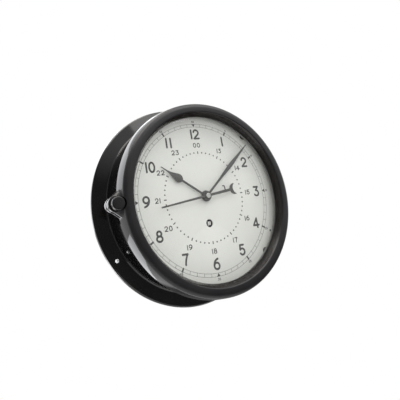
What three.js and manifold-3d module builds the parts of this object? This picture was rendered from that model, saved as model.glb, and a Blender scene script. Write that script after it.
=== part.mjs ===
// Deck clock: a flanged wall clock with a hinged bezel, a sweep seconds hand and a wound lever movement.
// Millimetres. Every piece is drawn in front elevation: x to the right, y up, z out from the wall.
// The exported group stands that elevation upright: +Z is up, the dial faces -Y and the wall is at Y = 0.

import * as THREE from "three";
import { mergeVertices } from "three/addons/utils/BufferGeometryUtils.js";
import Module from "manifold-3d";

const wasm = await Module();
wasm.setup();

// Fits
const seatGap = 0.3; // between faces that rest on each other
const closeGap = 0.15; // between thin pieces that are stacked
const runningFit = 0.1; // radial clearance of a pivot, pin or pipe
const screwFit = 0.25; // radial clearance round a screw's shank

// Roundness
const ringSides = 48;
const discSides = 28;
const knobSides = 12;
const drumSides = 18;
const smallSides = 10;
const pivotSides = 6;

// Dial
const dialMargin = 6.4; // dial beyond the bezel's opening
const dialThickness = 1.4;
const dialSink = 3.4; // dial's face below the case's rim
const dialClearance = 0.4;
const windingHoleRadius = 3.5;
const windingDrop = 24.2; // winding arbor below the dial's centre

// Moulded case
const caseWall = 3.8;
const caseDraft = 0.9; // the wall leans in by this much towards the flange
const caseRimHeight = 45.4;
const caseFloor = 4.5;
const rimBevel = 0.5;
const flangeWidth = 13.7;
const flangeEdgeThickness = 5.2;
const flangeRootThickness = 7.2;
const flangeRound = 1.2;
const flangeHoleRadius = 2.4;
const flangeHoleInset = 6.4; // hole centres in from the flange's edge
const flangeHoleAngles = [90, 210, 330];

// Dial screws, into columns inside the case
const screwInset = 3; // screw centres in from the dial's edge
const screwAngles = [45, 135, 225, 315];
const screwHeadRadius = 2.9;
const screwHeadHeight = 1.6;
const screwShankRadius = 1.2;
const screwLength = 9;
const columnRadius = 4.4;

// Bezel
const bezelOverhang = 3;
const bezelTaper = 1.7; // the side wall leans in by this much towards the front
const shoulderWidth = 4.6; // the rounded shoulder, seen from the front
const shoulderDepth = 3.7; // and seen from the side
const lipRadius = 75;
const lipSlope = 3.2; // the lip's wall leans out by this much towards the front
const lipHeight = 6.9; // front face down to the gasket's seat
const handClearance = 0.6; // from the seconds hub to the glass
const glassThickness = 2.3;
const glassOverlap = 3.4; // glass beyond the lip
const gasketThickness = 0.8;
const glassRingWall = 2.6; // behind the glass
const glassRingReach = 3.4; // beyond the glass
const ringScrewHeadRadius = 1.4;
const ringScrewHeadHeight = 0.8;
const ringScrewShankRadius = 0.7;
const ringScrewLength = 5;
const ringScrewAngles = [0, 90, 180, 270];

// Latch at 9 o'clock
const knobOffset = 2.1; // thumbscrew axis beyond the bezel's rear edge
const knobRadius = 5.65;
const knobHeight = 5.3;
const knobBevel = 0.7;
const knobPocketGap = 0.9; // from the knob to the straight pocket wall
const earRadius = 7;
const earFlare = 15; // half height where the ear runs into the ring
const earBlend = 4.7;
const earTouchAngle = 120;
const earThickness = 5.7;
const lugThickness = 5;
const washerThickness = 0.6;
const washerRadius = 4.6;
const neckRadius = 1.7;
const tipRadius = 2.4;
const tipLength = 4.5;
const earShoulder = 1.5; // ear left under the washer, which keeps the screw captive
const bushWall = 1.2;

// Hinge at 3 o'clock
const hingeOffset = 3.6; // hinge axis beyond the bezel's rear edge
const knuckleRadius = 3;
const knuckleGap = 0.4;
const bezelKnuckleLength = 9.2;
const caseKnuckleLength = 7;
const hingePinRadius = 1.2;
const pinHeadRadius = 1.9;
const pinHeadHeight = 1.2;
const hingeWebDrop = 11; // case web below the rim
const hingeWebRise = 6.5; // bezel web above its rear face

// Hands
const handThickness = 0.7;
const hourHandRise = 2.3; // front face above the dial's
const minuteHandStep = 1.7; // front face above the hour hand's
const secondsHandStep = 1.35; // front face above the minute hand's
const secondsHandThickness = 0.4;
const hourBossRadius = 5;
const minuteBossRadius = 4.4;
const secondsBossRadius = 2.6;
const bushRim = 0.7; // bush standing proud of its hand, front and back
const hubCapRadius = 2.25;
const hubCapHeight = 0.6;
const hubNeckRadius = 1.5;
const minuteTipInset = 2.3; // tip inside the bezel's opening
const hourClockAngle = 305;
const minuteClockAngle = 50;
const secondsClockAngle = 262.3;

// Movement frame
const plateRadius = 54;
const plateThickness = 2;
const plateSpace = 20.5; // between the plates
const pillarRadius = 3;
const pillarRivetRadius = 1.6;
const pillarInset = 6; // centres in from the plates' edge
const pillarAngles = [15, 125, 215, 305];
const footInset = 10; // centres in from the plates' edge
const footAngles = [90, 180, 340];
const footHeight = 5.1; // from the front plate to the dial
const footRadius = 2.6;
const footSpigotRadius = 1.3;
const pivotRadius = 0.8;

// Going train: teeth of each wheel and of the pinion it drives
const barrelTeeth = 48;
const centrePinionTeeth = 6;
const centreTeeth = 48;
const thirdPinionTeeth = 6;
const thirdTeeth = 45;
const secondsPinionTeeth = 6;
const fourthTeeth = 48;
const escapePinionTeeth = 6;
const escapeTeeth = 15;
const thirdDistance = 19.2;
const thirdAngle = 150;
const arborGap = 0.56; // from a wheel's teeth to an arbor that passes it
const escapeAngle = 60;
const escapeRadius = 7;
const escapeRootRadius = 5.2;
const escapeLift = 3; // escape wheel in front of the seconds pinion
const wheelThickness = 1.2;
const hubRadius = 3.4;
const rimWidth = 2.2; // wheel rim inside the teeth
const spokeWidth = 2;
const spokes = 4;

// Motion work under the dial
const cannonTeeth = 8;
const minuteWheelTeeth = 24;
const minutePinionTeeth = 8;
const hourWheelTeeth = 32;
const motionDistance = 12;
const motionAngle = 0;
const tubeRadius = 1.5; // hollow centre arbor
const cannonRadius = 2.1;
const hourPipeRadius = 3;

// Barrel and winding
const greatWheelThickness = 1.8;
const drumWall = 1.7;
const drumInset = 2; // drum inside the root of the teeth
const drumClearance = 1.45; // from the barrel's cover to the centre wheel
const coverThickness = 1;
const arborRadius = 2.4;
const arborHubRadius = 4;
const squareSide = 3.2;
const squareLength = 3;
const arborSink = 0.8; // arbor's end below the dial's face
const mainspringThickness = 0.7;
const mainspringTurns = 3;
const ratchetRadius = 8.5;
const ratchetToothDepth = 1.2;
const ratchetTeeth = 24;
const ratchetThickness = 1.5;
const clickDistance = 13.5; // click pivot from the winding arbor
const clickAngle = 160;
const clickTipAngle = 105;
const clickBossRadius = 2;
const clickWidth = 1.9;

// Escapement
const leverDistance = 10.4; // from the escape arbor
const balanceDistance = 16; // from the lever arbor
const escapementAngle = 45; // line of centres
const leverThickness = 1;
const leverWidth = 1.6;
const palletGap = 0.7;
const palletSpan = 4.6;
const forkGap = 1.2; // fork's end to the roller's edge
const rollerRadius = 2.2;
const balanceRadius = 11.5;
const balanceRim = 1.9;
const balanceThickness = 2.4;
const balanceLift = 3; // balance wheel in front of the roller
const hairspringRadius = 7;
const hairspringThickness = 0.24;
const hairspringWidth = 1;
const hairspringTurns = 3;
const hairspringStudRadius = 0.4;
const colletRadius = 1.9;
const indexBossRadius = 2.4;
const indexRim = 1.8;
const indexThickness = 1.1;
const indexLength = 15;
const curbPinRadius = 0.2;
const curbPinSpread = 0.5; // pin centres to each side of the hairspring
const indexSwing = 20; // degrees to each side

// Toothed wheels: shares are of the pitch, heights are in modules
const wheelTooth = { addendum: 0.8, dedendum: 1.3, rootShare: 1, tipShare: 0.2 };
const pinionLeaf = { addendum: 0.5, dedendum: 1.1, rootShare: 0.4, tipShare: 0.2 };

// Places worked out from the driving dimensions
const turn = Math.PI * 2;
const origin = new THREE.Vector2(0, 0);
const dialFront = caseRimHeight - dialSink;
const dialBack = dialFront - dialThickness;
const dialRadius = lipRadius + dialMargin;
const hourHandFront = dialFront + hourHandRise;
const minuteHandFront = hourHandFront + minuteHandStep;
const secondsHandFront = minuteHandFront + secondsHandStep;
const hubBack = secondsHandFront - secondsHandThickness - closeGap;
const hubSeat = secondsHandFront + closeGap;
const hubFront = hubSeat + hubCapHeight;
const secondsArborFront = hubFront - 2 * closeGap;
const caseInnerRadius = dialRadius + dialClearance;
const caseRimRadius = caseInnerRadius + caseWall;
const caseRootRadius = caseRimRadius - caseDraft;
const flangeRadius = caseRootRadius + flangeWidth;
const collarRadius = caseRootRadius + flangeRound;
const screwCircle = dialRadius - screwInset;
const bezelRear = caseRimHeight + seatGap;
const glassBack = hubFront + handClearance;
const glassFront = glassBack + glassThickness;
const lipSeat = glassFront + closeGap + gasketThickness + closeGap;
const bezelFront = lipSeat + lipHeight;
const bezelRearRadius = caseRimRadius + bezelOverhang;
const glassRadius = lipRadius + glassOverlap;
const glassRingOuter = glassRadius + glassRingReach;
const glassRingBack = bezelRear + closeGap;
const glassRingFront = glassBack - closeGap;
const ringScrewCircle = (glassRadius + glassRingOuter) / 2;
const knobCentre = new THREE.Vector2(-bezelRearRadius - knobOffset, 0);
const earFront = bezelRear + earThickness;
const washerFront = earFront + closeGap + washerThickness;
const knobBack = washerFront + closeGap;
const tipFront = caseRimHeight - closeGap;
const hingeX = bezelRearRadius + hingeOffset;
const hingeZ = (caseRimHeight + bezelRear) / 2;
const frontPlateFront = dialBack - footHeight;
const frontPlateBack = frontPlateFront - plateThickness;
const backPlateFront = frontPlateBack - plateSpace;
const backPlateBack = backPlateFront - plateThickness;
const pillarCircle = plateRadius - pillarInset;
const footCircle = plateRadius - footInset;

// Modules: the size of each pair's teeth, from the distance between their arbors
const greatModule = (2 * windingDrop) / (barrelTeeth + centrePinionTeeth);
const centreModule = (2 * thirdDistance) / (centreTeeth + thirdPinionTeeth);
const thirdModule = (2 * thirdDistance) / (thirdTeeth + secondsPinionTeeth);
const centreWheelRadius = centreModule * (centreTeeth / 2 + wheelTooth.addendum);
const escapeDistance = centreWheelRadius + pivotRadius + arborGap;
const fourthModule = (2 * escapeDistance) / (fourthTeeth + escapePinionTeeth);
const minuteModule = (2 * motionDistance) / (cannonTeeth + minuteWheelTeeth);
const hourModule = (2 * motionDistance) / (minutePinionTeeth + hourWheelTeeth);

// Centres of the movement's arbors
const barrelCentre = new THREE.Vector2(0, -windingDrop);
const thirdCentre = polar(thirdDistance, thirdAngle);
const escapeCentre = polar(escapeDistance, escapeAngle);
const leverCentre = polar(leverDistance, escapementAngle).add(escapeCentre);
const balanceCentre = polar(balanceDistance, escapementAngle).add(leverCentre);
const motionCentre = polar(motionDistance, motionAngle);
const clickCentre = polar(clickDistance, clickAngle).add(barrelCentre);

// Heights in the movement, stacked from the back plate forwards
const fourthBack = backPlateFront + 2 * seatGap;
const thirdBack = fourthBack + wheelThickness + 2 * seatGap;
const secondsPinionFront = thirdBack + wheelThickness + seatGap;
const tubeBack = secondsPinionFront + seatGap;
const greatWheelBack = tubeBack + 2 * seatGap;
const drumBack = greatWheelBack + greatWheelThickness;
const centreWheelFront = frontPlateBack - 3 * seatGap;
const centreWheelBack = centreWheelFront - wheelThickness;
const coverBack = centreWheelBack - drumClearance - coverThickness;
const drumFront = coverBack - closeGap;
const cannonBack = frontPlateFront + seatGap;
const cannonFront = cannonBack + wheelThickness + 2 * seatGap;
const hourWheelBack = cannonFront + 2 * seatGap;
const hourWheelFront = hourWheelBack + wheelThickness;
const ratchetBack = frontPlateFront + 2 * seatGap;
const ratchetFront = ratchetBack + ratchetThickness;
const escapeWheelBack = secondsPinionFront + escapeLift;
const leverBack = escapeWheelBack;
const rollerBack = leverBack + leverThickness + 3 * seatGap;
const balanceBack = rollerBack + balanceLift;
const hairspringBack = backPlateFront + 5 * seatGap;
const hairspringFront = hairspringBack + hairspringWidth;

// Finishes
const finishes = {
  mouldedBlack: { color: 0x1a1a1c, roughness: 0.3, metalness: 0 },
  blackKnob: { color: 0x161617, roughness: 0.4, metalness: 0 },
  blackRubber: { color: 0x202020, roughness: 0.8, metalness: 0 },
  greyMetal: { color: 0x6a6b6d, roughness: 0.45, metalness: 0.8 },
  clearGlass: { color: 0xf4f8f6, roughness: 0.02, metalness: 0, transparent: true, opacity: 0.2 },
  dialPaint: { color: 0xdcddd6, roughness: 0.6, metalness: 0 },
  blackenedSteel: { color: 0x35363a, roughness: 0.45, metalness: 0.7 },
  handPaint: { color: 0x3a3b3f, roughness: 0.5, metalness: 0.3 },
  polishedSteel: { color: 0xd8dadc, roughness: 0.15, metalness: 1 },
  springSteel: { color: 0x4a5568, roughness: 0.3, metalness: 1 },
  brass: { color: 0xc9a24a, roughness: 0.35, metalness: 1 },
};

const clock = new THREE.Group();
clock.rotation.x = Math.PI / 2;

// Plane points
function polar(radius, degrees) {
  const angle = THREE.MathUtils.degToRad(degrees);
  return new THREE.Vector2(radius * Math.cos(angle), radius * Math.sin(angle));
}

function direction(from, to) {
  return Math.atan2(to.y - from.y, to.x - from.x);
}

function circle(radius, sides, centre = origin) {
  return Array.from({ length: sides }, (_, i) => polar(radius, (360 * i) / sides).add(centre));
}

// A hole keeps its radius at the flats, so that a round pin clears it all the way round
function hole(radius, sides, centre = origin) {
  return circle(radius / Math.cos(Math.PI / sides), sides, centre);
}

function arc(radius, fromDegrees, toDegrees, steps, centre = origin) {
  return Array.from({ length: steps + 1 }, (_, i) =>
    polar(radius, fromDegrees + ((toDegrees - fromDegrees) * i) / steps).add(centre),
  );
}

function mirrored(points) {
  return points.map((p) => new THREE.Vector2(p.x, -p.y)).reverse();
}

// Solids
function toSolid(geometry) {
  const flat = geometry.index ? geometry.toNonIndexed() : geometry;
  const bare = new THREE.BufferGeometry().setAttribute("position", flat.getAttribute("position"));
  const merged = mergeVertices(bare, 1e-4);
  const corners = merged.index.array;
  const triangles = [];
  for (let i = 0; i < corners.length; i += 3) {
    const [a, b, c] = corners.slice(i, i + 3);
    if (a !== b && b !== c && c !== a) triangles.push(a, b, c);
  }
  const vertProperties = merged.getAttribute("position").array;
  const triVerts = new Uint32Array(triangles);
  return new wasm.Manifold(new wasm.Mesh({ numProp: 3, vertProperties, triVerts }));
}

function toGeometry(solid) {
  const mesh = solid.getMesh();
  const geometry = new THREE.BufferGeometry();
  geometry.setAttribute("position", new THREE.BufferAttribute(mesh.vertProperties, 3));
  geometry.setIndex(new THREE.BufferAttribute(mesh.triVerts, 1));
  geometry.computeVertexNormals();
  return geometry;
}

function extruded(outline, depth, holes) {
  const shape = new THREE.Shape(outline);
  shape.holes = holes.map((points) => new THREE.Path(points));
  return new THREE.ExtrudeGeometry(shape, { depth, bevelEnabled: false });
}

// A flat piece drawn in the elevation, from one height above the wall to another
function plate(outline, back, front, holes = []) {
  return toSolid(extruded(outline, front - back, holes).translate(0, 0, back));
}

// A piece drawn as a section in x and z, running from one height y to another
function slab(outline, bottom, top) {
  return toSolid(extruded(outline, top - bottom, []).rotateX(Math.PI / 2).translate(0, top, 0));
}

function rod(radius, back, front, centre = origin, sides = pivotSides) {
  return plate(circle(radius, sides, centre), back, front);
}

// A turned piece: its section as [radius, z] points, anticlockwise, closed or ending on the axis
function turned(section, sides) {
  const points = section.map(([radius, z]) => new THREE.Vector2(radius, z));
  return toSolid(new THREE.LatheGeometry(points, sides).rotateX(Math.PI / 2));
}

function ring(inner, outer, back, front, sides) {
  return plate(circle(outer, sides), back, front, [hole(inner, sides)]);
}

function join(...solids) {
  return solids.reduce((whole, solid) => whole.add(solid));
}

function cutAway(solid, cuts) {
  return cuts.reduce((left, cut) => left.subtract(cut), solid);
}

function addPiece(name, solid, finish, place = {}) {
  const mesh = new THREE.Mesh(toGeometry(solid), new THREE.MeshStandardMaterial(finish));
  mesh.name = name;
  mesh.position.set(place.x ?? 0, place.y ?? 0, place.z ?? 0);
  mesh.rotation.set(place.tip ?? 0, 0, place.turn ?? 0);
  clock.add(mesh);
}

// Toothed wheels
function toothedOutline(teeth, module, form, phase) {
  const pitchRadius = (module * teeth) / 2;
  const rootRadius = pitchRadius - form.dedendum * module;
  const outerRadius = pitchRadius + form.addendum * module;
  const pitch = 360 / teeth;
  const points = [];
  for (let i = 0; i < teeth; i += 1) {
    const middle = THREE.MathUtils.radToDeg(phase) + i * pitch;
    const root = (form.rootShare * pitch) / 2;
    const tip = (form.tipShare * pitch) / 2;
    points.push(polar(rootRadius, middle - root));
    points.push(polar(outerRadius, middle - tip));
    points.push(polar(outerRadius, middle + tip));
    if (form.rootShare < 1) points.push(polar(rootRadius, middle + root));
  }
  return points;
}

function rootRadiusOf(teeth, module, form) {
  return module * (teeth / 2 - form.dedendum);
}

// A wheel shows a tooth to its pinion, and the pinion shows a space to the wheel
function pinionPhase(towardsWheel, teeth) {
  return towardsWheel + Math.PI / teeth;
}

function crossings(inner, outer, count, width) {
  const sector = 360 / count;
  const innerTrim = THREE.MathUtils.radToDeg(width / 2 / inner);
  const outerTrim = THREE.MathUtils.radToDeg(width / 2 / outer);
  return Array.from({ length: count }, (_, i) => [
    ...arc(outer, i * sector + outerTrim, (i + 1) * sector - outerTrim, 3),
    ...arc(inner, (i + 1) * sector - innerTrim, i * sector + innerTrim, 1),
  ]);
}

function spokedWheel(teeth, module, phase, back) {
  const outline = toothedOutline(teeth, module, wheelTooth, phase);
  const rimInner = rootRadiusOf(teeth, module, wheelTooth) - rimWidth;
  const holes = [
    hole(pivotRadius + runningFit, pivotSides),
    ...crossings(hubRadius, rimInner, spokes, spokeWidth),
  ];
  return plate(outline, back, back + wheelThickness, holes);
}

// An arbor with a pinion cut on it, its ends running in both plates
function pinionArbor(teeth, module, phase, pinionBack, pinionFront, back, front) {
  const leaves = plate(toothedOutline(teeth, module, pinionLeaf, phase), pinionBack, pinionFront);
  return join(rod(pivotRadius, back, front), leaves);
}

const arborBack = backPlateBack + seatGap;
const arborFront = frontPlateFront - seatGap;

// Latch outline, shared by the bezel's ear and the case's lug behind it
function latchOutline() {
  const touch = polar(earRadius, earTouchAngle).add(knobCentre);
  const bend = polar(earBlend, earTouchAngle - 90).add(touch);
  const anchorRadius = caseRimRadius - caseWall / 4;
  const anchor = new THREE.Vector2(-Math.sqrt(anchorRadius ** 2 - earFlare ** 2), earFlare);
  const flare = new THREE.QuadraticBezierCurve(anchor, bend, touch).getPoints(4);
  const nose = arc(earRadius, earTouchAngle, 360 - earTouchAngle, 8, knobCentre);
  return [...flare, ...nose.slice(1, -1), ...mirrored(flare)];
}

// Moulded case
function hingeWeb(centreX, centreZ) {
  const wallX = caseRimRadius - caseWall / 2;
  const top = caseRimHeight - closeGap;
  const topAngle = 180 + THREE.MathUtils.radToDeg(Math.asin((centreZ - top) / knuckleRadius));
  const knuckle = arc(knuckleRadius, -60, topAngle, 10, new THREE.Vector2(centreX, centreZ));
  return [
    new THREE.Vector2(wallX, top - hingeWebDrop),
    ...knuckle,
    new THREE.Vector2(wallX, top),
  ];
}

const hingeAxis = new THREE.Vector2(hingeX, hingeZ);
const caseKnuckleStart = bezelKnuckleLength / 2 + knuckleGap;
const caseKnuckleEnd = caseKnuckleStart + caseKnuckleLength;

function caseBody() {
  const bowl = turned(
    [
      [0, 0],
      [collarRadius, 0],
      [collarRadius, flangeRootThickness],
      [caseRootRadius, flangeRootThickness + flangeRound],
      [caseRimRadius, caseRimHeight - rimBevel],
      [caseRimRadius - rimBevel, caseRimHeight],
      [caseInnerRadius, caseRimHeight],
      [caseInnerRadius, dialBack],
      [caseInnerRadius - caseDraft, caseFloor],
      [0, caseFloor],
    ],
    ringSides,
  );
  const columnTop = dialBack - seatGap;
  const columns = screwAngles.map((angle) =>
    rod(columnRadius, caseFloor / 2, columnTop, polar(screwCircle, angle), smallSides),
  );
  const columnBores = screwAngles.map((angle) =>
    plate(
      hole(screwShankRadius + screwFit, pivotSides, polar(screwCircle, angle)),
      dialFront - screwLength - 2 * seatGap,
      dialFront,
    ),
  );
  const lug = plate(latchOutline(), caseRimHeight - lugThickness, caseRimHeight);
  const bushBore = plate(
    hole(tipRadius + seatGap + bushWall + seatGap, smallSides, knobCentre),
    caseRimHeight - lugThickness - seatGap,
    caseRimHeight + seatGap,
  );
  const knuckles = [
    [caseKnuckleStart, caseKnuckleEnd],
    [-caseKnuckleEnd, -caseKnuckleStart],
  ].map(([bottom, top]) => slab(hingeWeb(hingeX, hingeZ), bottom, top));
  const pinHole = hole(hingePinRadius + runningFit, smallSides, hingeAxis);
  const pinBore = slab(pinHole, -caseKnuckleEnd, caseKnuckleEnd);
  return cutAway(join(bowl, ...columns, lug, ...knuckles), [...columnBores, bushBore, pinBore]);
}

addPiece("case_body", caseBody(), finishes.mouldedBlack);

// Wall flange, moulded in one with the case and drawn as a piece of its own round the case's foot
function wallFlange() {
  const disc = turned(
    [
      [collarRadius, 0],
      [flangeRadius, 0],
      [flangeRadius, flangeEdgeThickness - flangeRound],
      [flangeRadius - flangeRound, flangeEdgeThickness],
      [collarRadius, flangeRootThickness],
      [collarRadius, 0],
    ],
    ringSides,
  );
  const holes = flangeHoleAngles.map((angle) =>
    plate(
      hole(flangeHoleRadius, smallSides, polar(flangeRadius - flangeHoleInset, angle)),
      -seatGap,
      flangeRootThickness + seatGap,
    ),
  );
  return cutAway(disc, holes);
}

addPiece("wall_flange", wallFlange(), finishes.mouldedBlack);

addPiece(
  "latch_bush",
  ring(
    tipRadius + seatGap,
    tipRadius + seatGap + bushWall,
    caseRimHeight - lugThickness,
    tipFront,
    smallSides,
  ),
  finishes.brass,
  knobCentre,
);

// Bezel
function bezelRing() {
  const shoulderRoot = bezelRearRadius - bezelTaper - shoulderWidth;
  const shoulder = arc(1, 0, 90, 4).map((p) => [
    shoulderRoot + shoulderWidth * p.x,
    bezelFront - shoulderDepth + shoulderDepth * p.y,
  ]);
  const recessRadius = glassRingOuter + seatGap;
  const recessTop = glassRingFront + closeGap;
  const ringBody = turned(
    [
      [recessRadius, bezelRear],
      [bezelRearRadius, bezelRear],
      ...shoulder,
      [lipRadius + lipSlope, bezelFront],
      [lipRadius, lipSeat],
      [glassRadius + seatGap, lipSeat],
      [glassRadius + seatGap, recessTop],
      [recessRadius, recessTop],
      [recessRadius, bezelRear],
    ],
    ringSides,
  );
  const ear = plate(latchOutline(), bezelRear, earFront);
  const pocketWall = knobCentre.x + knobRadius + knobPocketGap;
  const pocketEdge = knobCentre.x - earRadius;
  const pocket = plate(
    [
      new THREE.Vector2(pocketEdge, -earRadius),
      new THREE.Vector2(pocketWall, -earRadius),
      new THREE.Vector2(pocketWall, earRadius),
      new THREE.Vector2(pocketEdge, earRadius),
    ],
    earFront,
    bezelFront + seatGap,
  );
  const neckHole = plate(
    hole(neckRadius + screwFit, pivotSides, knobCentre),
    bezelRear,
    earFront + seatGap,
  );
  const tipHole = plate(
    hole(tipRadius + seatGap, smallSides, knobCentre),
    bezelRear - seatGap,
    earFront - earShoulder,
  );
  const webX = shoulderRoot + shoulderWidth / 2;
  const knuckleEnd = bezelKnuckleLength / 2;
  const web = slab(
    [
      new THREE.Vector2(webX, bezelRear + closeGap),
      new THREE.Vector2(hingeX, bezelRear + closeGap),
      new THREE.Vector2(hingeX, hingeZ + knuckleRadius),
      new THREE.Vector2(webX, bezelRear + hingeWebRise),
    ],
    -knuckleEnd,
    knuckleEnd,
  );
  const knuckle = slab(circle(knuckleRadius, smallSides, hingeAxis), -knuckleEnd, knuckleEnd);
  const pinHole = hole(hingePinRadius + runningFit, smallSides, hingeAxis);
  const pinBore = slab(pinHole, -2 * knuckleEnd, 2 * knuckleEnd);
  const screwBores = ringScrewAngles.map((angle) =>
    plate(
      hole(ringScrewShankRadius + screwFit, pivotSides, polar(ringScrewCircle, angle)),
      bezelRear,
      glassRingBack + ringScrewLength + seatGap,
    ),
  );
  return cutAway(join(ringBody, ear, web, knuckle), [pocket, neckHole, tipHole, pinBore, ...screwBores]);
}

addPiece("bezel_ring", bezelRing(), finishes.mouldedBlack);

addPiece(
  "hinge_pin",
  turned(
    [
      [0, -caseKnuckleEnd],
      [hingePinRadius, -caseKnuckleEnd],
      [hingePinRadius, caseKnuckleEnd + closeGap],
      [pinHeadRadius, caseKnuckleEnd + closeGap],
      [pinHeadRadius, caseKnuckleEnd + closeGap + pinHeadHeight / 2],
      [hingePinRadius, caseKnuckleEnd + closeGap + pinHeadHeight],
      [0, caseKnuckleEnd + closeGap + pinHeadHeight],
    ],
    smallSides,
  ),
  finishes.blackenedSteel,
  { x: hingeX, z: hingeZ, tip: -Math.PI / 2 },
);

addPiece(
  "bezel_glass",
  plate(circle(glassRadius, discSides), glassBack, glassFront),
  finishes.clearGlass,
);

addPiece(
  "glass_gasket",
  ring(lipRadius + closeGap, glassRadius, glassFront + closeGap, lipSeat - closeGap, discSides),
  finishes.blackRubber,
);

function glassRing() {
  const bores = ringScrewAngles.map((angle) =>
    hole(ringScrewShankRadius + screwFit, pivotSides, polar(ringScrewCircle, angle)),
  );
  const opening = hole(glassRadius - glassRingWall, discSides);
  return plate(circle(glassRingOuter, discSides), glassRingBack, glassRingFront, [opening, ...bores]);
}

addPiece("glass_ring", glassRing(), finishes.greyMetal);

function ringScrew() {
  const seat = glassRingBack - closeGap;
  return turned(
    [
      [0, seat - ringScrewHeadHeight],
      [ringScrewHeadRadius, seat - ringScrewHeadHeight],
      [ringScrewHeadRadius, seat],
      [ringScrewShankRadius, seat],
      [ringScrewShankRadius, glassRingBack + ringScrewLength],
      [0, glassRingBack + ringScrewLength],
    ],
    pivotSides,
  );
}

ringScrewAngles.forEach((angle, i) => {
  addPiece(`glass_ring_screw_${i + 1}`, ringScrew(), finishes.blackenedSteel, polar(ringScrewCircle, angle));
});

// Thumbscrew, captive in the ear: its wide tip can't pass the ear's shoulder
function thumbscrew() {
  const knobFront = knobBack + knobHeight;
  return turned(
    [
      [0, tipFront - tipLength],
      [tipRadius - knobBevel, tipFront - tipLength],
      [tipRadius, tipFront - tipLength + knobBevel],
      [tipRadius, tipFront],
      [neckRadius, tipFront],
      [neckRadius, knobBack],
      [knobRadius - knobBevel / 2, knobBack],
      [knobRadius, knobBack + knobBevel],
      [knobRadius, knobFront - knobBevel],
      [knobRadius - knobBevel, knobFront],
      [0, knobFront],
    ],
    knobSides,
  );
}

addPiece("thumbscrew", thumbscrew(), finishes.blackKnob, knobCentre);

addPiece(
  "thumbscrew_washer",
  ring(neckRadius + screwFit, washerRadius, earFront + closeGap, washerFront, smallSides),
  finishes.blackenedSteel,
  knobCentre,
);

// Dial
function dialPlate() {
  const holes = [
    hole(hourPipeRadius + 2 * seatGap, smallSides),
    hole(windingHoleRadius, smallSides, barrelCentre),
    ...screwAngles.map((angle) => hole(screwShankRadius + screwFit, pivotSides, polar(screwCircle, angle))),
  ];
  return plate(circle(dialRadius, discSides), dialBack, dialFront, holes);
}

addPiece("dial_plate", dialPlate(), finishes.dialPaint);

function dialScrew() {
  const seat = dialFront + closeGap;
  return turned(
    [
      [0, dialFront - screwLength],
      [screwShankRadius, dialFront - screwLength],
      [screwShankRadius, seat],
      [screwHeadRadius, seat],
      [screwHeadRadius, seat + screwHeadHeight / 2],
      [screwHeadRadius * 0.7, seat + screwHeadHeight],
      [0, seat + screwHeadHeight],
    ],
    smallSides,
  );
}

screwAngles.forEach((angle, i) => {
  addPiece(`dial_screw_${i + 1}`, dialScrew(), finishes.blackenedSteel, polar(screwCircle, angle));
});

function dialFoot() {
  return turned(
    [
      [0, frontPlateBack - 2 * footSpigotRadius],
      [footSpigotRadius, frontPlateBack - 2 * footSpigotRadius],
      [footSpigotRadius, frontPlateFront + seatGap],
      [footRadius, frontPlateFront + seatGap],
      [footRadius, dialBack - seatGap],
      [0, dialBack - seatGap],
    ],
    pivotSides,
  );
}

footAngles.forEach((angle, i) => {
  addPiece(`dial_foot_${i + 1}`, dialFoot(), finishes.brass, polar(footCircle, angle));
});

// Hands, drawn along +x from the boss and turned to their time
function clockTurn(clockAngle) {
  return THREE.MathUtils.degToRad(90 - clockAngle);
}

function bladeOutline(blade) {
  const side = new THREE.Path();
  side.moveTo(blade.root, -blade.stem);
  side.lineTo(blade.swellStart, -blade.stem);
  const rise = (blade.swellAt - blade.swellStart) / 2;
  side.bezierCurveTo(
    blade.swellStart + rise,
    -blade.stem,
    blade.swellAt - rise,
    -blade.swell,
    blade.swellAt,
    -blade.swell,
  );
  const fall = (blade.swellEnd - blade.swellAt) / 2;
  side.bezierCurveTo(
    blade.swellAt + fall,
    -blade.swell,
    blade.swellEnd - fall,
    -blade.point,
    blade.swellEnd,
    -blade.point,
  );
  side.lineTo(blade.tip, -blade.point / 2);
  const points = side.getPoints(4);
  return [...points, ...mirrored(points)];
}

const hourBlade = {
  root: 3.8,
  stem: 0.75,
  swellStart: 27,
  swellAt: 31.2,
  swell: 3.9,
  swellEnd: 43.5,
  point: 0.55,
  tip: 51.3,
};
const minuteBlade = {
  root: 3.2,
  stem: 0.8,
  swellStart: 20,
  swellAt: 43,
  swell: 1.75,
  swellEnd: lipRadius - 4 * minuteTipInset,
  point: 0.6,
  tip: lipRadius - minuteTipInset,
};

function bladedHand(blade, bossRadius, eyeRadius, front) {
  const back = front - handThickness;
  const boss = plate(circle(bossRadius, drumSides), back, front);
  const eye = plate(hole(eyeRadius, smallSides), back - seatGap, front + seatGap);
  return join(boss, plate(bladeOutline(blade), back, front)).subtract(eye);
}

const hourBushRadius = hourPipeRadius + runningFit + bushRim;
const minuteBushRadius = cannonRadius + runningFit + bushRim;

addPiece(
  "hour_hand",
  bladedHand(hourBlade, hourBossRadius, hourBushRadius + runningFit, hourHandFront),
  finishes.handPaint,
  { turn: clockTurn(hourClockAngle) },
);
addPiece(
  "hour_hand_bush",
  ring(
    hourPipeRadius + runningFit,
    hourBushRadius,
    hourHandFront - handThickness - bushRim,
    hourHandFront + closeGap,
    smallSides,
  ),
  finishes.blackenedSteel,
);
addPiece(
  "minute_hand",
  bladedHand(minuteBlade, minuteBossRadius, minuteBushRadius + runningFit, minuteHandFront),
  finishes.handPaint,
  { turn: clockTurn(minuteClockAngle) },
);
addPiece(
  "minute_hand_bush",
  ring(
    cannonRadius + runningFit,
    minuteBushRadius,
    minuteHandFront - handThickness - closeGap,
    minuteHandFront + closeGap,
    smallSides,
  ),
  finishes.blackenedSteel,
);

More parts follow.
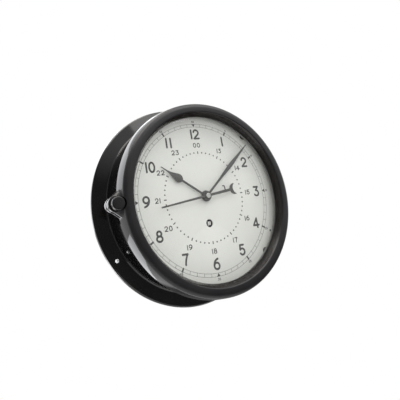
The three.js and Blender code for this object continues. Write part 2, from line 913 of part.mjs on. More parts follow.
const secondsNeedle = { tip: 49.3, tail: 24.5, width: 1.7, tipWidth: 1, tailWidth: 1.8 };
const crescent = { back: 25.3, outerRadius: 5.2, thickness: 3, innerRadius: 5.5 };
const spur = { at: 20.4, height: 5, width: 0.5, hook: 1.9 };

function secondsHand() {
  const back = secondsHandFront - secondsHandThickness;
  const needle = [
    new THREE.Vector2(secondsNeedle.tip, -secondsNeedle.tipWidth / 2),
    new THREE.Vector2(secondsNeedle.tip, secondsNeedle.tipWidth / 2),
    new THREE.Vector2(0, secondsNeedle.width / 2),
    new THREE.Vector2(-secondsNeedle.tail - crescent.thickness / 2, secondsNeedle.tailWidth / 2),
    new THREE.Vector2(-secondsNeedle.tail - crescent.thickness / 2, -secondsNeedle.tailWidth / 2),
    new THREE.Vector2(0, -secondsNeedle.width / 2),
  ];
  const moonCentre = new THREE.Vector2(-crescent.back - crescent.outerRadius, 0);
  const biteCentre = new THREE.Vector2(-crescent.back - crescent.thickness - crescent.innerRadius, 0);
  const moon = plate(circle(crescent.outerRadius, drumSides, moonCentre), back, secondsHandFront).subtract(
    plate(circle(crescent.innerRadius, drumSides, biteCentre), back - seatGap, secondsHandFront + seatGap),
  );
  const spurOutline = [
    new THREE.Vector2(-spur.at, 0),
    new THREE.Vector2(-spur.at + spur.width, 0),
    new THREE.Vector2(-spur.at + spur.width, -spur.height + spur.width),
    new THREE.Vector2(-spur.at + spur.hook, -spur.height),
    new THREE.Vector2(-spur.at + spur.hook, -spur.height - spur.width),
    new THREE.Vector2(-spur.at, -spur.height),
  ];
  const eye = plate(
    hole(hubNeckRadius + runningFit, smallSides),
    back - seatGap,
    secondsHandFront + seatGap,
  );
  const boss = plate(circle(secondsBossRadius, smallSides), back, secondsHandFront);
  return join(
    boss,
    plate(needle, back, secondsHandFront),
    moon,
    plate(spurOutline, back, secondsHandFront),
  ).subtract(eye);
}

addPiece("seconds_hand", secondsHand(), finishes.handPaint, { turn: clockTurn(secondsClockAngle) });

addPiece(
  "seconds_hub",
  turned(
    [
      [pivotRadius + runningFit, hubBack],
      [hubNeckRadius, hubBack],
      [hubNeckRadius, hubSeat],
      [hubCapRadius, hubSeat],
      [hubCapRadius, hubFront - closeGap],
      [hubCapRadius - closeGap, hubFront],
      [0, hubFront],
      [0, secondsArborFront + closeGap],
      [pivotRadius + runningFit, secondsArborFront + closeGap],
      [pivotRadius + runningFit, hubBack],
    ],
    smallSides,
  ),
  finishes.polishedSteel,
);

// Movement plates and pillars
const pivotHoles = [thirdCentre, escapeCentre, leverCentre, balanceCentre].map((centre) =>
  hole(pivotRadius + runningFit, pivotSides, centre),
);
const rivetHoles = pillarAngles.map((angle) =>
  hole(pillarRivetRadius + runningFit, pivotSides, polar(pillarCircle, angle)),
);
const arborHole = hole(arborRadius + runningFit, smallSides, barrelCentre);
const studRadius = pivotRadius + runningFit;

addPiece(
  "front_plate",
  plate(circle(plateRadius, discSides), frontPlateBack, frontPlateFront, [
    hole(tubeRadius + runningFit, smallSides),
    arborHole,
    ...pivotHoles,
    ...rivetHoles,
    ...footAngles.map((angle) => hole(footSpigotRadius + runningFit, pivotSides, polar(footCircle, angle))),
    hole(studRadius + runningFit, pivotSides, motionCentre),
    hole(studRadius + runningFit, pivotSides, clickCentre),
  ]),
  finishes.brass,
);

function curbSlot() {
  const inner = hairspringRadius - curbPinSpread - curbPinRadius - seatGap;
  const outer = hairspringRadius + curbPinSpread + curbPinRadius + seatGap;
  const half = indexSwing + THREE.MathUtils.radToDeg((curbPinRadius + seatGap) / inner);
  const middle = escapementAngle + 180;
  return [
    ...arc(outer, middle - half, middle + half, 6, balanceCentre),
    ...arc(inner, middle + half, middle - half, 6, balanceCentre),
  ];
}

const indexBack = backPlateBack - closeGap - indexThickness;
const indexBoss = plate(
  circle(indexBossRadius, smallSides, balanceCentre),
  indexBack - closeGap,
  backPlateBack,
  [hole(pivotRadius + runningFit, pivotSides, balanceCentre)],
);

addPiece(
  "back_plate",
  join(
    plate(circle(plateRadius, discSides), backPlateBack, backPlateFront, [
      hole(pivotRadius + runningFit, pivotSides),
      arborHole,
      ...pivotHoles,
      ...rivetHoles,
      curbSlot(),
    ]),
    indexBoss,
  ),
  finishes.brass,
);

function pillar() {
  return turned(
    [
      [0, backPlateBack + seatGap],
      [pillarRivetRadius, backPlateBack + seatGap],
      [pillarRivetRadius, backPlateFront + seatGap],
      [pillarRadius, backPlateFront + seatGap],
      [pillarRadius, frontPlateBack - seatGap],
      [pillarRivetRadius, frontPlateBack - seatGap],
      [pillarRivetRadius, frontPlateFront - seatGap],
      [0, frontPlateFront - seatGap],
    ],
    pivotSides,
  );
}

pillarAngles.forEach((angle, i) => {
  addPiece(`pillar_${i + 1}`, pillar(), finishes.brass, polar(pillarCircle, angle));
});

// Barrel, mainspring and winding work
const drumRadius = rootRadiusOf(barrelTeeth, greatModule, wheelTooth) - drumInset;
const drumInner = drumRadius - drumWall;

function spiralBand(inner, outer, turns, thickness, stepsPerTurn, endArc) {
  const winding = turns * 360;
  const steps = Math.round((stepsPerTurn * (winding + endArc)) / 360);
  const side = (offset) =>
    Array.from({ length: steps + 1 }, (_, i) => {
      const angle = ((winding + endArc) * i) / steps;
      return polar(inner + (outer - inner) * Math.min(1, angle / winding) + offset, angle);
    });
  return [...side(thickness / 2), ...side(-thickness / 2).reverse()];
}

addPiece(
  "barrel",
  join(
    plate(
      toothedOutline(barrelTeeth, greatModule, wheelTooth, direction(barrelCentre, origin)),
      greatWheelBack,
      drumBack,
      [hole(arborRadius + runningFit, smallSides)],
    ),
    ring(drumInner, drumRadius, drumBack - closeGap, drumFront, drumSides),
  ),
  finishes.brass,
  barrelCentre,
);
addPiece(
  "barrel_cover",
  ring(arborRadius + runningFit, drumRadius, coverBack, coverBack + coverThickness, drumSides),
  finishes.brass,
  barrelCentre,
);
addPiece(
  "mainspring",
  plate(
    spiralBand(
      arborHubRadius + mainspringThickness,
      drumInner - mainspringThickness - seatGap,
      mainspringTurns,
      mainspringThickness,
      10,
      90,
    ),
    drumBack + seatGap,
    drumFront - seatGap,
  ),
  finishes.springSteel,
  barrelCentre,
);

function windingArbor() {
  const arborEnd = dialFront - arborSink;
  const half = squareSide / 2;
  const square = [
    new THREE.Vector2(-half, -half),
    new THREE.Vector2(half, -half),
    new THREE.Vector2(half, half),
    new THREE.Vector2(-half, half),
  ];
  return join(
    rod(arborRadius, arborBack, arborEnd - squareLength, origin, smallSides),
    rod(arborHubRadius, drumBack + seatGap, drumFront - seatGap, origin, smallSides),
    plate(square, arborEnd - squareLength - closeGap, arborEnd),
  );
}

addPiece("winding_arbor", windingArbor(), finishes.polishedSteel, barrelCentre);

function ratchetOutline() {
  const pitch = 360 / ratchetTeeth;
  const points = [];
  for (let i = 0; i < ratchetTeeth; i += 1) {
    points.push(polar(ratchetRadius - ratchetToothDepth, i * pitch));
    points.push(polar(ratchetRadius, (i + 0.85) * pitch));
  }
  return points;
}

addPiece(
  "ratchet_wheel",
  plate(ratchetOutline(), ratchetBack, ratchetFront, [hole(arborRadius + runningFit, smallSides)]),
  finishes.springSteel,
  barrelCentre,
);

const clickTip = polar(ratchetRadius + 2 * seatGap, clickTipAngle).add(barrelCentre);
const clickLine = clickTip.clone().sub(clickCentre);
const clickNormal = new THREE.Vector2(-clickLine.y, clickLine.x).normalize();

function clickArm() {
  const at = (along, out) =>
    clickLine.clone().multiplyScalar(along).addScaledVector(clickNormal, out);
  const armOutline = [at(0, 0), at(1, 0), at(1, clickWidth / 4), at(0, clickWidth)];
  const arm = plate(armOutline, ratchetBack, ratchetFront);
  const boss = rod(clickBossRadius, ratchetBack, ratchetFront, origin, smallSides);
  const stud = rod(studRadius, frontPlateBack + seatGap, ratchetBack + closeGap);
  return join(arm, boss, stud);
}

addPiece("click", clickArm(), finishes.springSteel, clickCentre);

// The click's leaf spring stands on the front plate and lies along the click's outer side
function clickSpring() {
  const at = (along, out) =>
    clickLine.clone().multiplyScalar(along).addScaledVector(clickNormal, out).add(clickCentre);
  const footCentre = at(0.15, clickWidth + 3 * clickBossRadius);
  const touch = at(0.62, (clickWidth * 3) / 4 + seatGap);
  const strip = hairspringThickness * 2;
  const across = touch.clone().sub(footCentre);
  const thick = new THREE.Vector2(-across.y, across.x).setLength(strip);
  const leaf = plate(
    [footCentre, touch, touch.clone().add(thick), footCentre.clone().add(thick)],
    ratchetBack,
    ratchetFront,
  );
  return join(leaf, rod(clickBossRadius / 2, frontPlateFront + seatGap, ratchetFront, footCentre));
}

addPiece("click_spring", clickSpring(), finishes.springSteel);

// Going train
const tubeFront = minuteHandFront - handThickness;

function centreArbor() {
  const phase = pinionPhase(direction(origin, barrelCentre), centrePinionTeeth);
  const leaves = toothedOutline(centrePinionTeeth, greatModule, pinionLeaf, phase);
  const pinionFront = drumBack + seatGap;
  const bore = plate(
    hole(pivotRadius + runningFit, pivotSides),
    tubeBack - seatGap,
    tubeFront + seatGap,
  );
  return join(
    plate(leaves, greatWheelBack - seatGap, pinionFront),
    rod(tubeRadius, tubeBack, tubeFront, origin, smallSides),
  ).subtract(bore);
}

addPiece("centre_arbor", centreArbor(), finishes.polishedSteel);

function centreWheel() {
  const phase = direction(origin, thirdCentre);
  const rimInner = rootRadiusOf(centreTeeth, centreModule, wheelTooth) - rimWidth;
  return plate(
    toothedOutline(centreTeeth, centreModule, wheelTooth, phase),
    centreWheelBack,
    centreWheelFront,
    [hole(tubeRadius + runningFit, smallSides), ...crossings(hubRadius, rimInner, spokes, spokeWidth)],
  );
}

addPiece("centre_wheel", centreWheel(), finishes.brass);

addPiece(
  "third_arbor",
  pinionArbor(
    thirdPinionTeeth,
    centreModule,
    pinionPhase(direction(thirdCentre, origin), thirdPinionTeeth),
    centreWheelBack - seatGap,
    centreWheelFront + seatGap,
    arborBack,
    arborFront,
  ),
  finishes.polishedSteel,
  thirdCentre,
);
addPiece(
  "third_wheel",
  spokedWheel(thirdTeeth, thirdModule, direction(thirdCentre, origin), thirdBack),
  finishes.brass,
  thirdCentre,
);
addPiece(
  "seconds_arbor",
  pinionArbor(
    secondsPinionTeeth,
    thirdModule,
    pinionPhase(direction(origin, thirdCentre), secondsPinionTeeth),
    thirdBack - seatGap,
    secondsPinionFront,
    arborBack,
    secondsArborFront,
  ),
  finishes.polishedSteel,
);
addPiece(
  "fourth_wheel",
  spokedWheel(fourthTeeth, fourthModule, direction(origin, escapeCentre), fourthBack),
  finishes.brass,
);
addPiece(
  "escape_arbor",
  pinionArbor(
    escapePinionTeeth,
    fourthModule,
    pinionPhase(direction(escapeCentre, origin), escapePinionTeeth),
    fourthBack - seatGap,
    fourthBack + wheelThickness + seatGap,
    arborBack,
    arborFront,
  ),
  finishes.polishedSteel,
  escapeCentre,
);

function escapeWheel() {
  const pitch = 360 / escapeTeeth;
  const points = [];
  for (let i = 0; i < escapeTeeth; i += 1) {
    points.push(polar(escapeRootRadius, i * pitch));
    points.push(polar(escapeRadius, (i + 0.7) * pitch));
    points.push(polar(escapeRadius, (i + 0.82) * pitch));
  }
  return plate(points, escapeWheelBack, escapeWheelBack + wheelThickness, [
    hole(pivotRadius + runningFit, pivotSides),
  ]);
}

addPiece("escape_wheel", escapeWheel(), finishes.brass, escapeCentre);

// Lever, drawn along +x towards the balance, with its two pallets beside the escape wheel
function lever() {
  const front = leverBack + leverThickness;
  const half = leverWidth / 2;
  const forkEnd = balanceDistance - rollerRadius - forkGap;
  const forkRoot = forkEnd - 2 * leverWidth;
  const slot = leverWidth / 4;
  const arm = [
    new THREE.Vector2(0, -half),
    new THREE.Vector2(forkRoot, -half / 2),
    new THREE.Vector2(forkEnd, -half),
    new THREE.Vector2(forkEnd, -slot),
    new THREE.Vector2(forkEnd - leverWidth, -slot),
    new THREE.Vector2(forkEnd - leverWidth, slot),
    new THREE.Vector2(forkEnd, slot),
    new THREE.Vector2(forkEnd, half),
    new THREE.Vector2(forkRoot, half / 2),
    new THREE.Vector2(0, half),
  ];
  const reach = leverDistance - Math.sqrt((escapeRadius + palletGap) ** 2 - palletSpan ** 2);
  const pallet = [
    new THREE.Vector2(half, half),
    new THREE.Vector2(-half, half),
    new THREE.Vector2(-reach, palletSpan),
    new THREE.Vector2(-reach + half, palletSpan + leverWidth),
  ];
  return join(
    plate(arm, leverBack, front),
    plate(pallet, leverBack, front),
    plate(mirrored(pallet), leverBack, front),
    rod(leverWidth, leverBack, front, origin, smallSides),
  ).subtract(plate(hole(pivotRadius + runningFit, pivotSides), leverBack - seatGap, front + seatGap));
}

const lineOfCentres = THREE.MathUtils.degToRad(escapementAngle);

addPiece("lever", lever(), finishes.polishedSteel, {
  x: leverCentre.x,
  y: leverCentre.y,
  turn: lineOfCentres,
});
addPiece("lever_arbor", rod(pivotRadius, arborBack, arborFront), finishes.polishedSteel, leverCentre);

// Balance
function balanceWheel() {
  const inner = balanceRadius - balanceRim;
  const front = balanceBack + balanceThickness;
  const rim = ring(inner, balanceRadius, balanceBack, front, drumSides);
  const half = spokeWidth / 2;
  const bar = plate(
    [
      new THREE.Vector2(-inner - balanceRim / 2, -half),
      new THREE.Vector2(inner + balanceRim / 2, -half),
      new THREE.Vector2(inner + balanceRim / 2, half),
      new THREE.Vector2(-inner - balanceRim / 2, half),
    ],
    balanceBack,
    balanceBack + balanceThickness / 2,
  );
  const hub = rod(hubRadius, balanceBack, front, origin, smallSides);
  const bore = plate(
    hole(pivotRadius + runningFit, pivotSides),
    balanceBack - seatGap,
    front + seatGap,
  );
  return join(rim, bar, hub).subtract(bore);
}

addPiece("balance_wheel", balanceWheel(), finishes.brass, balanceCentre);
addPiece(
  "balance_staff",
  join(
    rod(pivotRadius, indexBack, arborFront),
    rod(colletRadius, hairspringBack, hairspringFront, origin, smallSides),
    rod(rollerRadius, rollerBack, rollerBack + leverThickness, origin, smallSides),
  ),
  finishes.polishedSteel,
  balanceCentre,
);

// The hairspring's last stretch keeps one radius, so that the curb pins can slide along it
const springEndArc = 4 * indexSwing;
const springTurn = lineOfCentres + Math.PI - THREE.MathUtils.degToRad(springEndArc / 2);

addPiece(
  "hairspring",
  plate(
    spiralBand(
      colletRadius + hairspringThickness + seatGap,
      hairspringRadius,
      hairspringTurns,
      hairspringThickness,
      16,
      springEndArc,
    ),
    hairspringBack,
    hairspringFront,
  ),
  finishes.springSteel,
  { x: balanceCentre.x, y: balanceCentre.y, turn: springTurn },
);

const studAngle = escapementAngle + 180 + springEndArc / 2;
const studReach = THREE.MathUtils.radToDeg((hairspringStudRadius + seatGap) / hairspringRadius);

addPiece(
  "hairspring_stud",
  rod(hairspringStudRadius, backPlateFront + seatGap, hairspringFront + seatGap),
  finishes.polishedSteel,
  polar(hairspringRadius, studAngle + studReach).add(balanceCentre),
);

// Regulator index, on the back plate's boss, its curb pins reaching through the slot
function regulatorIndex() {
  const front = indexBack + indexThickness;
  const outer = indexBossRadius + indexRim;
  const half = indexRim / 2;
  const arm = [
    new THREE.Vector2(-hairspringRadius - curbPinSpread - 2 * curbPinRadius, -half),
    new THREE.Vector2(0, -outer),
    new THREE.Vector2(indexLength, -half / 2),
    new THREE.Vector2(indexLength, half / 2),
    new THREE.Vector2(0, outer),
    new THREE.Vector2(-hairspringRadius - curbPinSpread - 2 * curbPinRadius, half),
  ];
  const pins = [-curbPinSpread, curbPinSpread].map((offset) =>
    rod(
      curbPinRadius,
      front - closeGap,
      hairspringFront + closeGap,
      new THREE.Vector2(-hairspringRadius + offset, 0),
    ),
  );
  return join(plate(arm, indexBack, front), ...pins).subtract(
    plate(hole(indexBossRadius + runningFit, smallSides), indexBack - seatGap, front + seatGap),
  );
}

addPiece("regulator_index", regulatorIndex(), finishes.polishedSteel, {
  x: balanceCentre.x,
  y: balanceCentre.y,
  turn: lineOfCentres,
});

// Motion work
const cannonEnd = minuteHandFront + 2 * closeGap;

function cannonPinion() {
  const phase = pinionPhase(direction(origin, motionCentre), cannonTeeth);
  const leaves = toothedOutline(cannonTeeth, minuteModule, pinionLeaf, phase);
  const bore = plate(
    hole(tubeRadius + runningFit, smallSides),
    cannonBack - seatGap,
    cannonEnd + seatGap,
  );
  return join(
    plate(leaves, cannonBack, cannonFront),
    rod(cannonRadius, cannonBack, cannonEnd, origin, smallSides),
  ).subtract(bore);
}

addPiece("cannon_pinion", cannonPinion(), finishes.polishedSteel);

const minuteWheelBack = cannonBack + seatGap;
const minuteWheelFront = minuteWheelBack + wheelThickness;

function minuteWheel() {
  const towardsCentre = direction(motionCentre, origin);
  const leafPhase = pinionPhase(towardsCentre, minutePinionTeeth);
  const bore = plate(
    hole(studRadius + runningFit, pivotSides),
    cannonBack,
    hourWheelFront + 2 * seatGap,
  );
  return join(
    plate(
      toothedOutline(minuteWheelTeeth, minuteModule, wheelTooth, towardsCentre),
      minuteWheelBack,
      minuteWheelFront,
    ),
    plate(
      toothedOutline(minutePinionTeeth, hourModule, pinionLeaf, leafPhase),
      minuteWheelFront - closeGap,
      hourWheelFront + seatGap,
    ),
  ).subtract(bore);
}

addPiece("minute_wheel", minuteWheel(), finishes.brass, motionCentre);
addPiece(
  "minute_wheel_stud",
  rod(studRadius, frontPlateBack + seatGap, hourWheelFront + 2 * seatGap),
  finishes.polishedSteel,
  motionCentre,
);

function hourWheel() {
  const phase = direction(origin, motionCentre);
  const pipeEnd = hourHandFront + 2 * closeGap;
  const bore = plate(
    hole(cannonRadius + runningFit, smallSides),
    hourWheelBack - seatGap,
    pipeEnd + seatGap,
  );
  return join(
    plate(toothedOutline(hourWheelTeeth, hourModule, wheelTooth, phase), hourWheelBack, hourWheelFront),
    rod(hourPipeRadius, hourWheelBack, pipeEnd, origin, smallSides),
  ).subtract(bore);
}

addPiece("hour_wheel", hourWheel(), finishes.brass);

export default clock;
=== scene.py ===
import math

import bmesh
import bpy
from mathutils import Euler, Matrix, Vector
from mathutils.geometry import delaunay_2d_cdt


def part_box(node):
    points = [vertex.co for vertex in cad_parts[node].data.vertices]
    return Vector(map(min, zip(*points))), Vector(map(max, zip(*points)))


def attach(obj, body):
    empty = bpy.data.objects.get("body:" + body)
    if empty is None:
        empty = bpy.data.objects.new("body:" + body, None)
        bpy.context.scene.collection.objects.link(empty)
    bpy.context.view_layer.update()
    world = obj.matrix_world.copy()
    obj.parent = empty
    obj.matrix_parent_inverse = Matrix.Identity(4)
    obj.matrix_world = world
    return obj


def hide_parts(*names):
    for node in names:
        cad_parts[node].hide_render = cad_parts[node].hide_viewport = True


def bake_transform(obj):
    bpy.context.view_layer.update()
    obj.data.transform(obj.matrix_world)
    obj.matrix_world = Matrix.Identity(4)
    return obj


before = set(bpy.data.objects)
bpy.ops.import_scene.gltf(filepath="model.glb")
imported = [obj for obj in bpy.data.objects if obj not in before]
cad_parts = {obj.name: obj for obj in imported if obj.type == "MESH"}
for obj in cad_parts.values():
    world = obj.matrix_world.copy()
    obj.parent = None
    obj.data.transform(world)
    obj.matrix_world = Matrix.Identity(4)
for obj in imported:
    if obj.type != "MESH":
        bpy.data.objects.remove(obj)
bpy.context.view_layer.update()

scene = bpy.context.scene
mm = 0.001
origin = (0.0, 0.0)
# lengths that count as nothing, shares that a corner may take, and the angle that stays sharp
limits = {"tiny": 1e-6, "weld": 5e-7, "sheet": 1e-5, "sideShare": 0.48, "mitre": 0.4, "crease": 32.0}


# the drafting frame: x right, y up, h out from the wall, all in millimetres
def fromWall(x, y, h):
    return Vector((x, -h, y)) * mm


# the same for the hinge, where a section lies in x and h and the length runs up
def upTheHinge(x, h, y):
    return fromWall(x, y, h)


def polar(radius, degrees, centre=origin):
    angle = math.radians(degrees)
    return (centre[0] + radius * math.cos(angle), centre[1] + radius * math.sin(angle))


def clockPoint(radius, clockDegrees):
    return polar(radius, 90.0 - clockDegrees)


def arcPoints(centre, radius, start, end, steps):
    return [polar(radius, start + (end - start) * i / steps, centre) for i in range(steps + 1)]


def circlePoints(centre, radius, steps):
    return arcPoints(centre, radius, 0.0, 360.0, steps)[:-1]


# a curve from first to last that leans towards pull
def bentPoints(first, pull, last, steps):
    points = []
    for i in range(steps + 1):
        t = i / steps
        points.append(tuple((1 - t) ** 2 * a + 2 * t * (1 - t) * p + t * t * b
                            for a, p, b in zip(first, pull, last)))
    return points


# each corner is (across, along, radius) and is blended by an arc of that radius
def softened(corners, steps):
    path = []
    for i, (across, along, radius) in enumerate(corners):
        here = Vector((across, along))
        before = Vector(corners[i - 1][:2]) - here
        after = Vector(corners[(i + 1) % len(corners)][:2]) - here
        if radius <= 0.0:
            path.append((across, along))
            continue
        half = before.angle(after) / 2.0
        reach = min(radius / math.tan(half), limits["sideShare"] * min(before.length, after.length))
        bend = reach * math.tan(half)
        heart = here + (before.normalized() + after.normalized()).normalized() * (bend / math.sin(half))
        first = here + before.normalized() * reach - heart
        last = here + after.normalized() * reach - heart
        start = math.atan2(first.y, first.x)
        sweep = (math.atan2(last.y, last.x) - start + math.pi) % math.tau - math.pi
        for k in range(steps + 1):
            angle = start + sweep * k / steps
            path.append((heart.x + bend * math.cos(angle), heart.y + bend * math.sin(angle)))
    return path


# a profile of (radius, height) spun round an axis at centre
def turned(profile, steps, centre=origin, lay=fromWall, spin=0.0):
    shape = bmesh.new()
    angles = [math.tau * (i + spin) / steps for i in range(steps)]
    rings = []
    for radius, height in profile:
        if radius < limits["tiny"]:
            rings.append([shape.verts.new(lay(centre[0], centre[1], height))])
            continue
        ring = []
        for angle in angles:
            x = centre[0] + radius * math.cos(angle)
            y = centre[1] + radius * math.sin(angle)
            ring.append(shape.verts.new(lay(x, y, height)))
        rings.append(ring)
    for near, far in zip(rings, rings[1:] + rings[:1]):
        if len(near) == 1 and len(far) == 1:
            continue
        for i in range(steps):
            j = (i + 1) % steps
            corners = [near[i % len(near)], near[j % len(near)], far[j % len(far)], far[i % len(far)]]
            shape.faces.new(list(dict.fromkeys(corners)))
    bmesh.ops.recalc_face_normals(shape, faces=shape.faces)
    return shape


# a turned part from its own values: corners, steps at each bend, steps round
def lathed(look, centre=origin, lay=fromWall):
    return turned(softened(look["profile"], look["bends"]), look["steps"], centre, lay)


# a plain cylinder, spun so that its points meet no others
def rod(centre, radius, low, high, steps=40, lay=fromWall, spin=0.37):
    return turned([(0.0, low), (radius, low), (radius, high), (0.0, high)], steps, centre, lay, spin)


def loopArea(loop):
    return 0.5 * sum(a[0] * b[1] - b[0] * a[1] for a, b in zip(loop, loop[1:] + loop[:1]))


# flat outlines joined into one sheet of triangles, less the holes
def flatSheet(outlines, holes):
    points, faces = [], []
    for loop in list(outlines) + list(holes):
        turn = loop if loopArea(loop) > 0.0 else loop[::-1]
        faces.append(list(range(len(points), len(points) + len(turn))))
        points += [Vector(point) for point in turn]
    verts, _, tris, _, _, sources = delaunay_2d_cdt(points, [], faces, 0, limits["sheet"])
    kept = []
    for tri, source in zip(tris, sources):
        if source and max(source) < len(outlines):
            kept.append(tri if loopArea([tuple(verts[i]) for i in tri]) > 0.0 else tri[::-1])
    return verts, kept


# a flat sheet given thickness from low to high, with its edges rounded over
def cutOut(outlines, low, high, holes=(), edge=0.0, steps=3, lay=fromWall):
    points, tris = flatSheet(outlines, holes)
    sides = {(tri[k], tri[(k + 1) % 3]) for tri in tris for k in range(3)}
    rim = sorted(pair for pair in sides if pair[::-1] not in sides)
    inward = {}
    for a, b in rim:
        run = (points[b] - points[a]).normalized()
        for end in (a, b):
            inward.setdefault(end, []).append(Vector((-run.y, run.x)))
    shift = {}
    for end, normals in inward.items():
        mean = sum(normals, Vector(origin))
        mean = mean.normalized() if mean.length > limits["tiny"] else normals[0]
        shift[end] = mean / max(mean.dot(normals[0]), limits["mitre"])
    levels = [(low, 0.0), (high, 0.0)]
    if edge > 0.0:
        bends = [math.radians(90.0 * k / steps) for k in range(steps + 1)]
        rise = [(low + edge * (1.0 - math.cos(b)), edge * (1.0 - math.sin(b))) for b in bends]
        levels = rise + [(low + high - height, inset) for height, inset in reversed(rise)]
    shape = bmesh.new()
    rows = []
    for height, inset in levels:
        row = {}
        for end, move in shift.items():
            spot = points[end] + move * inset
            row[end] = shape.verts.new(lay(spot.x, spot.y, height))
        rows.append(row)
    for row, height in ((rows[0], low), (rows[-1], high)):
        for i in sorted({i for tri in tris for i in tri} - set(shift)):
            row[i] = shape.verts.new(lay(points[i].x, points[i].y, height))
    for below, above in zip(rows, rows[1:]):
        for a, b in rim:
            shape.faces.new([below[a], below[b], above[b], above[a]])
    for tri in tris:
        shape.faces.new([rows[0][i] for i in reversed(tri)])
        shape.faces.new([rows[-1][i] for i in tri])
    bmesh.ops.recalc_face_normals(shape, faces=shape.faces)
    return shape


def roughPiece(name, shape):
    mesh = bpy.data.meshes.new(name)
    shape.to_mesh(mesh)
    shape.free()
    made = bpy.data.objects.new(name, mesh)
    scene.collection.objects.link(made)
    return made


# joins shapes to a base, or takes them away from it, and gives back the finished shape
def worked(base, tools, how):
    blank = roughPiece("blank", base)
    others = [roughPiece("tool", tool) for tool in tools]
    for other in others:
        change = blank.modifiers.new("change", "BOOLEAN")
        change.operation = how
        change.solver = "EXACT"
        change.object = other
    shape = bmesh.new()
    shape.from_object(blank, bpy.context.evaluated_depsgraph_get())
    for used in [blank] + others:
        mesh = used.data
        bpy.data.objects.remove(used)
        bpy.data.meshes.remove(mesh)
    bmesh.ops.remove_doubles(shape, verts=shape.verts, dist=limits["weld"])
    bmesh.ops.dissolve_degenerate(shape, edges=shape.edges, dist=limits["weld"])
    return shape


# shader groups that several finishes share
def shaderGroup(name, inputs, outputs):
    group = bpy.data.node_groups.new(name, "ShaderNodeTree")
    for label, kind, value in inputs:
        socket = group.interface.new_socket(name=label, in_out="INPUT", socket_type=kind)
        socket.default_value = value
    for label, kind in outputs:
        group.interface.new_socket(name=label, in_out="OUTPUT", socket_type=kind)
    return group, group.nodes.new("NodeGroupInput"), group.nodes.new("NodeGroupOutput")


def noiseNode(tree, vector, scale, detail, roughness):
    noise = tree.nodes.new("ShaderNodeTexNoise")
    noise.inputs["Detail"].default_value = detail
    noise.inputs["Roughness"].default_value = roughness
    tree.links.new(vector, noise.inputs["Vector"])
    tree.links.new(scale, noise.inputs["Scale"])
    return noise


def rangeNode(tree, value, low, high):
    spread = tree.nodes.new("ShaderNodeMapRange")
    spread.inputs["From Min"].default_value = low
    spread.inputs["From Max"].default_value = high
    tree.links.new(value, spread.inputs["Value"])
    return spread


# a mix of two colours, whose sockets on this node are 0, 6 and 7 and whose result is 2
def mixNode(tree, factor, first, second):
    mix = tree.nodes.new("ShaderNodeMix")
    mix.data_type = "RGBA"
    tree.links.new(factor, mix.inputs[0])
    tree.links.new(first, mix.inputs[6])
    if isinstance(second, tuple):
        mix.inputs[7].default_value = second
    else:
        tree.links.new(second, mix.inputs[7])
    return mix


def mathNode(tree, how, first, second):
    step = tree.nodes.new("ShaderNodeMath")
    step.operation = how
    for socket, value in zip(step.inputs, (first, second)):
        if isinstance(value, (int, float)):
            socket.default_value = value
        else:
            tree.links.new(value, socket)
    return step


colour, number = "NodeSocketColor", "NodeSocketFloat"
# detail and roughness of each noise, and the part of its range that is used
skinNoise = {"drift": (3.0, 0.55), "haze": (5.0, 0.6), "grain": (2.0, 0.5), "spread": (0.3, 0.7)}


# tone that drifts over a surface, haze in its gloss, and a fine skin
def buildSkin():
    group, given, result = shaderGroup("surface skin", [
        ("Dark", colour, (0.01, 0.01, 0.01, 1.0)), ("Pale", colour, (0.02, 0.02, 0.02, 1.0)),
        ("Drift Scale", number, 30.0), ("Smooth", number, 0.1), ("Hazy", number, 0.2),
        ("Haze Scale", number, 60.0), ("Grain Scale", number, 900.0)],
        [("Colour", colour), ("Roughness", number), ("Height", number)])
    spot = group.nodes.new("ShaderNodeTexCoord").outputs["Object"]
    drift = noiseNode(group, spot, given.outputs["Drift Scale"], *skinNoise["drift"])
    share = rangeNode(group, drift.outputs["Fac"], *skinNoise["spread"])
    tone = mixNode(group, share.outputs["Result"], given.outputs["Dark"], given.outputs["Pale"])
    group.links.new(tone.outputs[2], result.inputs["Colour"])
    haze = noiseNode(group, spot, given.outputs["Haze Scale"], *skinNoise["haze"])
    gloss = rangeNode(group, haze.outputs["Fac"], *skinNoise["spread"])
    group.links.new(given.outputs["Smooth"], gloss.inputs["To Min"])
    group.links.new(given.outputs["Hazy"], gloss.inputs["To Max"])
    group.links.new(gloss.outputs["Result"], result.inputs["Roughness"])
    grain = noiseNode(group, spot, given.outputs["Grain Scale"], *skinNoise["grain"])
    group.links.new(grain.outputs["Fac"], result.inputs["Height"])
    return group


turningNoise = {"detail": 3.0, "spread": (0.35, 0.65)}


